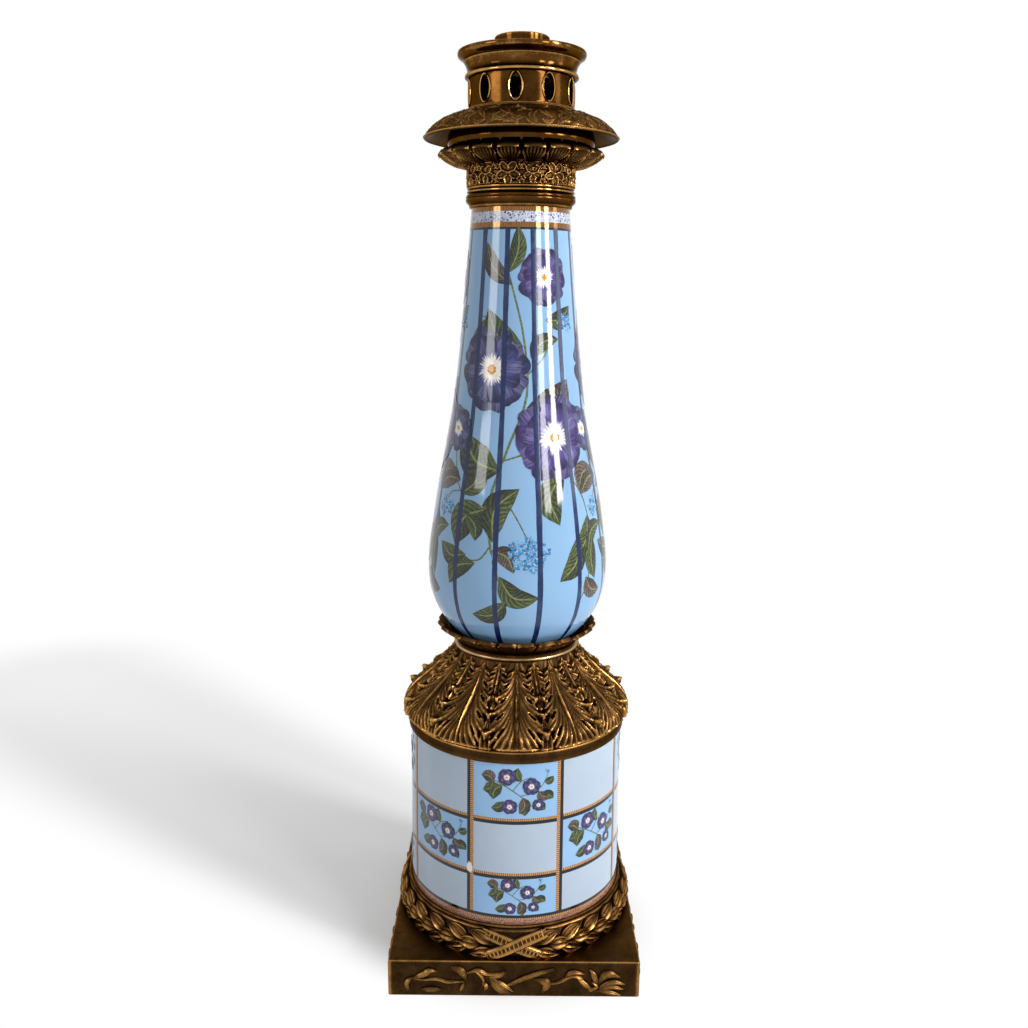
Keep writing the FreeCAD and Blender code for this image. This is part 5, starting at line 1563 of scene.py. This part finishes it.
def make_lotus():
    """Twenty ribbed petals turned out over the frieze, their rims curled and bright."""
    r0 = FRIEZE_RADIUS
    outside = smooth(shared_line(LOTUS_SHARES, r0, LOTUS_RADIUS - 0.5, LOTUS_BASE, LOTUS_TOP - 0.6), 44)
    ground = Turned(outside)
    end = ground.length
    pitch = FULL_TURN / LOTUS_PETALS
    carving = Carving(ground, pitch, 38, 28)
    carving.mound(
        [(0, 0.3), (0, end * 0.5), (0, end)], [5.6, 6.1, 4.7, 3.0, 2.2], [1.5, 1.9, 1.8, 1.5, 1.0],
        0.0, slab)
    for number in range(6):
        top = (number - 2.5) * 1.75
        path = [(top, 1.0), (top, end * 0.28), (top * 0.66, end * 0.52), (top * 0.36, end * 0.94)]
        carving.add(path, [0.5, 0.62, 0.45, 0.3], [-0.9, -1.1, -0.9, -0.5])
    carving.mound([(-5.0, 0.6), (0, 0.35), (5.0, 0.6)], [0.5, 0.7, 0.5], [2.2, 2.8, 2.2], 0.0, roof)
    for side in (-1, 1):
        path = [
            (side * 5.2, 0.7), (side * 5.6, end * 0.24), (side * 4.2, end * 0.5),
            (side * 2.6, end * 0.76), (side * 1.9, end),
        ]
        carving.mound(path, [0.55, 0.6, 0.5], [2.1, 2.2, 1.3], 0.0, roof)
    lift = carving.lift()
    tones = np.where(carving.cover < 0.5, 0.02, carving.tones(lift, 4, 1.2, 0.36))
    share = np.abs(carving.angle) / (pitch / 2)
    dips = 3.6 * np.clip((share - 0.80) / 0.2, 0, 1) ** 1.5
    cell = carving.shell(lift, tones, 0.9, dips, 0.1)
    line = [
        (r0 - 3, LOTUS_BASE), (r0 + 0.6, LOTUS_BASE), (r0 + 1.0, LOTUS_BASE + 0.5),
        (r0 + 0.6, LOTUS_BASE + 1.4), (r0 + 5.0, LOTUS_BASE + 3.4), (r0 + 4.0, LOTUS_TOP - 2.0),
        (r0 - 3, LOTUS_TOP - 2.0),
    ]
    core = lathe(line, [0.2, 0.6, 0.8, 0.2, 0.05, 0.1, 0.1])
    bronze_piece("lotus_petals", core, "lotus_ring",
                 [all_round(cell, LOTUS_PETALS, LOTUS_FIRST_TURN)], crease=CARVED_CREASE)


# outside of the spacer ring: share of its radius, share of its height
SPACER_SHARES = (
    (0.72, 0.0), (0.80, 0.04), (0.92, 0.14), (0.98, 0.28), (1.0, 0.42), (0.99, 0.56), (0.96, 0.70),
    (0.92, 0.82), (0.88, 0.92), (0.86, 1.0),
)


def make_spacer():
    """The plain rounded ring under the pan."""
    outer = [
        (SPACER_RADIUS * (0.78 + 0.22 * (out - 0.58) / 0.42), SPACER_BASE + (SPACER_TOP - SPACER_BASE) * up)
        for out, up in SPACER_SHARES
    ]
    outer = smooth(outer, 34)
    line = np.concatenate([[(ROD_HOLE_LOOK, SPACER_BASE)], outer, [(ROD_HOLE_LOOK, SPACER_TOP)]])
    tone = [0.3] + [0.46] * len(outer) + [0.3]
    bronze_piece("pan_spacer", lathe(line, tone), "spacer_ring", (), PLAIN_BRONZE)


GALLERY_BASE_LOOK = GALLERY_RADIUS - 0.3
# slope of the pan: share of the way out, share of the way down
PAN_SHARES = ((0.0, 0.0), (0.26, 0.14), (0.50, 0.30), (0.68, 0.45), (0.87, 0.72), (1.0, 1.0))
PAN_UNITS = 9
# curled leaves of the pan: across and along as on a slope 24 long, and their half width
PAN_LEAVES = (
    (((-9, 15), (-5, 9), (1, 7), (6, 9)), 1.7), (((3, 9), (7, 14), (12, 17)), 1.6),
    (((-3, 9), (-5, 14), (-2, 19)), 1.5), (((2, 7), (5, 3.5), (9, 4.0)), 1.2),
    (((7, 12), (10, 8), (14, 8.5)), 1.4), (((10, 16), (6, 19), (2, 21)), 1.3),
    (((-9, 15), (-12, 18), (-10, 22)), 1.4), (((-7, 10), (-10, 6), (-13, 5)), 1.3),
    (((-10, 13), (-14, 12), (-17, 14)), 1.2), (((11, 17), (15, 20), (18, 19)), 1.3),
    (((-1, 20), (-5, 22), (-7, 20)), 1.1), (((5, 15), (3, 17), (3, 20)), 0.9),
    (((0, 23), (4, 20), (9, 21)), 1.4), (((9, 22), (13, 21), (16, 23)), 1.3),
    (((-15, 19), (-13, 22), (-9, 23)), 1.3),
)
PAN_SLOPE = 24.0


def make_pan():
    """The downturned pan with worn foliage on its slope and a fine bright rim."""
    inner = GALLERY_BASE_LOOK
    outside = smooth(shared_line(
        [(out, 1 - down) for out, down in PAN_SHARES], inner, PAN_RADIUS - 0.3, PAN_LOW, PAN_TOP), 44)
    ground = Turned(outside)
    under = smooth([
        (PAN_RADIUS * 0.66, PAN_TOP - 6.0), (PAN_RADIUS * 0.86, PAN_LOW + 6.2), (PAN_RADIUS - 2.0, PAN_LOW),
    ], 20)
    line = [(ROD_HOLE_LOOK, SPACER_TOP), (SPACER_RADIUS * 0.84, SPACER_TOP), *under]
    line += [(PAN_RADIUS - 0.6, PAN_LOW - 0.1), (PAN_RADIUS, PAN_LOW + 0.5)]
    line += [(r - 0.9, z - 0.9) for r, z in outside[::-1][1:]]
    line += [(ROD_HOLE_LOOK, PAN_TOP - 0.9)]
    tone = [0.2, 0.2] + [0.50] * len(under) + [1.0, 1.1] + [0.28] * (len(outside) - 1) + [0.2]
    pitch = FULL_TURN / PAN_UNITS
    end = ground.length
    carving = Carving(ground, pitch, 74, 50)
    for path, half in PAN_LEAVES:
        path = [(x, y * end / PAN_SLOPE) for x, y in path]
        carving.mound(path, [half * 0.4, half, half, half * 0.3], [0.5, 0.75, 0.75, 0.6], 0.0, rimmed)
        carving.add(path, [0.35, 0.4, 0.25], [0.3, 0.35, 0.2])
    carving.mound([(-16, 0.5), (16, 0.5)], [0.5, 0.5], [0.6, 0.6], 0.0, roof)
    carving.mound([(-19, end - 0.5), (19, end - 0.5)], [0.6, 0.6], [0.7, 0.7], 0.0, roof)
    lift = carving.lift() - 0.25
    lift[0] = lift[-1] = -0.2
    low_radius, low = outside[-1]
    closing = [
        (inner - 0.5, PAN_TOP - 1.2), ((inner + low_radius) / 2, (PAN_TOP + PAN_LOW) / 2 - 1.0),
        (low_radius - 1.2, low - 0.1),
    ]
    cell = carving.cell(lift, carving.tones(lift, 5, 0.8, 0.60), closing, [0.2, 0.2, 0.6])
    bronze_piece("foliage_pan", lathe(line, tone), "drip_pan", [all_round(cell, PAN_UNITS, pitch / 2)],
                 crease=PAN_CREASE)


WINDOWS = 10
WINDOW_TURN = math.radians(-6.65)
WINDOW_POINTS = 48
WINDOW_HALF_WIDTH = 2.95
WINDOW_HALF_HEIGHT = 6.4
WINDOW_MIDDLE_SHARE = 0.51
GALLERY_WALL_RADIUS = 28.0
GALLERY_WALL = 1.8
# rings of a cell: step out from the oval, share of the way to the border, lift and tone
WINDOW_RINGS = (
    (0, 1.0, -GALLERY_WALL, 0.05), (0, 0.0, -GALLERY_WALL, 0.05), (0, 0.0, -0.2, 0.3),
    (0.15, 0.0, 0.35, 0.9), (0.55, 0.0, 0.62, 1.2), (0.95, 0.0, 0.35, 0.8), (1.15, 0.0, 0.0, 0.12),
    (1.7, 0.0, 0.0, 0.38), (0, 1.0, 0.0, 0.42),
)


def window_cell(radius, low, high):
    """One window: an oval hole with a raised rim, in a piece of the wall as wide as its share."""
    middle = low + (high - low) * WINDOW_MIDDLE_SHARE
    width = math.pi / WINDOWS * radius
    angle = -FULL_TURN / WINDOW_POINTS * np.arange(WINDOW_POINTS)
    circle = np.stack([np.cos(angle), np.sin(angle)], axis=-1)
    oval = circle * [WINDOW_HALF_WIDTH, WINDOW_HALF_HEIGHT]
    to_border = [
        np.abs(circle / [width, height]).max(axis=1) for height in (high - middle, middle - low)
    ]
    border = circle / np.where(circle[:, 1] >= 0, *to_border)[:, None]
    for x in (width, -width):
        for y in (high - middle, low - middle):
            nearest = np.hypot(border[:, 0] - x, border[:, 1] - y).argmin()
            border[nearest] = (x, y)
    outward = oval / np.linalg.norm(oval, axis=1)[:, None]
    points = []
    tones = []
    for step, share, lift, tone in WINDOW_RINGS:
        flat = (oval + outward * step) * (1 - share) + border * share
        points.append(polar(radius + lift, FRONT + flat[:, 0] / radius, middle + flat[:, 1]))
        tones.append(np.full(WINDOW_POINTS, tone))
    faces = net(len(WINDOW_RINGS), WINDOW_POINTS, True, True)
    # neighbouring cells join at their sides, which stay open
    kept = np.ones(len(faces), bool)
    kept[-WINDOW_POINTS:] = np.abs(border[:, 0] - np.roll(border[:, 0], -1)) >= 1e-9
    return Shape(np.concatenate(points), faces[kept], np.concatenate(tones))


def make_gallery():
    """The pierced wall of ten alike windows, on its moulded foot."""
    low = PAN_TOP + 1.0
    cell = window_cell(GALLERY_WALL_RADIUS, low, GALLERY_TOP)
    inner = GALLERY_WALL_RADIUS - GALLERY_WALL
    line = [
        (ROD_HOLE_LOOK, PAN_TOP - 3.8), (inner - 2.0, PAN_TOP - 3.8), (inner - 2.0, PAN_TOP),
        (GALLERY_RADIUS - 0.2, PAN_TOP), (GALLERY_RADIUS, PAN_TOP + 0.5), (GALLERY_RADIUS - 0.2, low),
        (inner, low), (inner - 3.8, low - 0.6), (inner - 3.8, PAN_TOP - 1.3), (ROD_HOLE_LOOK, PAN_TOP - 1.3),
    ]
    foot = lathe(line, [0.1, 0.1, 0.1, 0.6, 0.9, 0.5, 0.1, 0.05, 0.05, 0.05])
    bronze_piece("window_gallery", foot, "gallery", [all_round(cell, WINDOWS, WINDOW_TURN)], PLAIN_BRONZE)


CUP_WAIST = 29.0
CUP_HOLE = 28.3
CUP_FLOOR = CUP_BASE + 2.5
CUP_SHARES = (
    (0.0, 0.0), (0.10, 0.015), (0.22, 0.05), (0.24, 0.09), (0.20, 0.14), (0.08, 0.18), (0.0, 0.22),
    (0.0, 0.32), (0.05, 0.40), (0.14, 0.50), (0.28, 0.60), (0.34, 0.62), (0.36, 0.66), (0.54, 0.72),
    (0.78, 0.78), (0.92, 0.82), (0.98, 0.86), (1.0, 0.90), (1.0, 0.96), (0.96, 1.0),
)
CUP_TONES = (
    0.3, 0.5, 0.85, 0.95, 0.6, 0.2, 0.1, 0.5, 0.6, 0.6, 0.65, 0.9, 0.1, 0.45, 0.6, 0.65, 0.7, 0.6, 0.6, 0.75,
)


def make_cup():
    """The flared cup: a bead, a waist, a stepped flare and a rounded lip."""
    line = [(CUP_HOLE, CUP_BASE), *shared_line(CUP_SHARES, CUP_WAIST, CUP_RADIUS, CUP_BASE, CUP_TOP)]
    line += [
        (CUP_RADIUS - 1.9, CUP_TOP), (CUP_RADIUS - 2.2, CUP_TOP - 1.0), (CUP_RADIUS - 4.6, CUP_BASE + 7.0),
        (CUP_WAIST - 1.9, CUP_FLOOR), (CUP_HOLE, CUP_FLOOR),
    ]
    tone = [0.2, *CUP_TONES, 0.7, 0.6, 0.55, 0.5, 0.5]
    bronze_piece("flared_cup", lathe(line, tone), "cup", (), PLAIN_BRONZE, CUP_CREASE)


NOZZLE_RADIUS = 14.5
NOZZLE_SHANK = 13.4
CANDLE_BORE = 11.5
CANDLE_DEPTH = 25.0


def make_nozzle():
    """The candle socket, which lifts out of the cup: a tube with a flange and a rounded lip."""
    seat = CUP_FLOOR
    bore_floor = NOZZLE_TOP - CANDLE_DEPTH
    line = [
        (0.0, NOZZLE_BASE), (NOZZLE_SHANK, NOZZLE_BASE), (NOZZLE_SHANK, seat), (NOZZLE_FLANGE - 0.2, seat),
        (NOZZLE_FLANGE, seat + 0.4), (NOZZLE_FLANGE, seat + 1.1), (NOZZLE_FLANGE - 0.3, seat + 1.5),
        (NOZZLE_RADIUS + 0.6, seat + 1.5), (NOZZLE_RADIUS, seat + 2.0), (NOZZLE_RADIUS, NOZZLE_TOP - 1.6),
        (NOZZLE_RADIUS, NOZZLE_TOP - 0.5), (NOZZLE_RADIUS - 0.5, NOZZLE_TOP),
        (CANDLE_BORE + 0.4, NOZZLE_TOP), (CANDLE_BORE, NOZZLE_TOP - 0.4), (CANDLE_BORE, bore_floor),
        (0.0, bore_floor),
    ]
    tone = [0.2, 0.3, 0.3, 0.5, 0.7, 0.7, 0.6, 0.2, 0.2, 0.4, 0.7, 0.9, 0.9, 0.6, 0.05, 0.05]
    finished("candle_socket", lathe(line, tone), PLAIN_BRONZE, ["nozzle"], body="nozzle")


def finish_hidden_nodes():
    """Finishes for the pieces inside, which keep their own shapes."""
    for material, slot, names in (
        (DULL_BRONZE, "antique_bronze", ("socket_plate",)),
        (FELT, "felt", ("drum_foot_felt", "vase_foot_felt")),
        (IRON, "iron_hardware", ("tie_rod", "base_washer", "base_nut", "top_washer", "top_nut")),
    ):
        for name in names:
            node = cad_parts[name]
            node.data.materials.clear()
            node.data.materials.append(material)


# Camera, light and floor

CAMERA_DISTANCE = 570.0
CAMERA_HEIGHT = 391.7
CAMERA_SIDE = -2.15
CAMERA_DROP = math.radians(12.58)
CAMERA_ROLL = math.radians(0.50)
FRAME_PIXELS = 1028
FOCAL_PIXELS = 1008.5
SENSOR = 36.0


def make_camera():
    """The camera that was fitted to the photo."""
    camera = bpy.data.cameras.new("photo camera")
    camera.sensor_width = SENSOR
    camera.lens = FOCAL_PIXELS / FRAME_PIXELS * SENSOR
    camera.clip_start = 0.01
    holder = placed("photo camera", camera)
    holder.location = (CAMERA_SIDE * MM, -CAMERA_DISTANCE * MM, CAMERA_HEIGHT * MM)
    look = Matrix.Rotation(math.pi / 2 - CAMERA_DROP, 4, "X") @ Matrix.Rotation(CAMERA_ROLL, 4, "Z")
    holder.rotation_euler = look.to_euler()
    bpy.context.scene.camera = holder


WORLD_LIGHT = 0.25
BACKGROUND = 1.0
FLOOR_REACH = 6.0
FLOOR_LEVEL = -0.0001
FLOOR_PAPER = (0.93, 0.93, 0.93, 1)
FLOOR_WHITE = 0.20
# where the shadow falls on the floor, in metres from the axis, and how far from that line the
# floor begins to fade to white, is white at its near end, and how much wider it is at its far end
SHADOW_END = (-0.46, 0.37, 0.0)
SHADOW_CORE = 0.062
SHADOW_EDGE = 0.095
SHADOW_SPREAD = 0.085
# how much lighter the floor's painted glow makes the shadow at its far end
SHADOW_THINNING = 0.6
LAMP_AIM = Vector((0, 0, 0.27))


def background_ray(tree):
    """1 for rays that see the background straight, in a reflection or through something."""
    ways = tree.nodes.new("ShaderNodeLightPath").outputs
    seen = ways["Is Camera Ray"]
    for name in ("Is Glossy Ray", "Is Transmission Ray"):
        seen = new_node(tree, "ShaderNodeMath", (seen, ways[name]), operation="MAXIMUM").outputs[0]
    return seen


def make_world():
    """A dim even light all round, behind a white background."""
    world = bpy.data.worlds.new("studio")
    bpy.context.scene.world = world
    world.use_nodes = True
    tree = world.node_tree
    shade = tree.nodes["Background"].inputs
    put(tree, shade["Color"], WHITE)
    put(tree, shade["Strength"], new_node(
        tree, "ShaderNodeMix", {"Factor": background_ray(tree), "A": WORLD_LIGHT, "B": BACKGROUND}))


def lamp(name, turn, distance, height, wide, tall, power):
    """A lit window in metres and watts, at a turn in degrees from the front, that faces the holder."""
    light = bpy.data.lights.new(name, "AREA")
    light.shape = "RECTANGLE"
    light.size = wide
    light.size_y = tall
    light.energy = power
    holder = placed(name, light)
    angle = FRONT + math.radians(turn)
    holder.location = (distance * math.cos(angle), distance * math.sin(angle), height)
    holder.rotation_mode = "QUATERNION"
    holder.rotation_quaternion = (LAMP_AIM - holder.location).to_track_quat("-Z", "Y")


def floor_paper():
    """White paper that shows the shadow near its line and only the white background elsewhere; its glow is
    painted light, which lightens the shadow towards its far end.
    """
    m = Paint("pale floor")
    seen = Term(m, background_ray(m.tree))
    m.set(Base_Color=FLOOR_PAPER, Roughness=0.9, Specular_IOR_Level=0.0, Emission_Color=WHITE,
          Emission_Strength=seen * FLOOR_WHITE)
    length = sum(part * part for part in SHADOW_END)
    along = m.node(
        "ShaderNodeVectorMath", (m.spot, [part / length for part in SHADOW_END]), operation="DOT_PRODUCT")
    share = Term(m, m.node("ShaderNodeClamp", [along.outputs["Value"]]).outputs[0])
    nearest = m.node("ShaderNodeVectorMath", {0: SHADOW_END, "Scale": share}, operation="SCALE")
    gap = m.node("ShaderNodeVectorMath", (m.spot, nearest), operation="DISTANCE")
    fade = m.node("ShaderNodeMapRange", {
        "Value": gap.outputs["Value"], "From Min": SHADOW_CORE,
        "From Max": m.math("MULTIPLY_ADD", share, SHADOW_SPREAD, SHADOW_EDGE),
    }, interpolation_type="SMOOTHSTEP")
    # painted light: the glow lightens the shadow more and more towards its far end
    thinned = m.node("ShaderNodeMix", {"Factor": share * SHADOW_THINNING, "A": fade, "B": 1.0})
    glow = m.node("ShaderNodeEmission", {"Color": WHITE, "Strength": BACKGROUND})
    blend = m.node("ShaderNodeMixShader", (m.math("MULTIPLY", thinned, seen), m.shader, glow))
    put(m.tree, m.tree.nodes["Material Output"].inputs["Surface"], blend)
    return m.material


def make_floor():
    """The studio's floor, just under the holder."""
    mesh = bpy.data.meshes.new("studio_floor")
    corners = [
        (x * FLOOR_REACH, y * FLOOR_REACH, FLOOR_LEVEL) for x, y in ((-1, -1), (1, -1), (1, 1), (-1, 1))
    ]
    mesh.from_pydata(corners, [], [(0, 1, 2, 3)])
    mesh.materials.append(floor_paper())
    placed("studio_floor", mesh)


make_camera()
make_world()
make_floor()
lamp("key window", 61, 1.3, 0.70, 0.22, 0.60, 11.5)
lamp("right window", 41, 1.3, 0.66, 0.22, 0.54, 5.4)
lamp("side window", 86, 1.4, 0.66, 0.26, 0.60, 1.8)
lamp("left window", -56, 1.5, 0.72, 0.46, 0.46, 4.6)
lamp("tall window", 62, 1.2, 1.18, 0.26, 0.72, 4.0)

make_plinth()
make_laurel_ring()
make_drum()
make_cap()
make_seat_ring()
make_calyx()
make_vase()
paint_vase()
make_collar()
make_frieze()
make_lotus()
make_spacer()
make_pan()
make_gallery()
make_cup()
make_nozzle()
finish_hidden_nodes()

bpy.context.scene.view_settings.view_transform = "Standard"
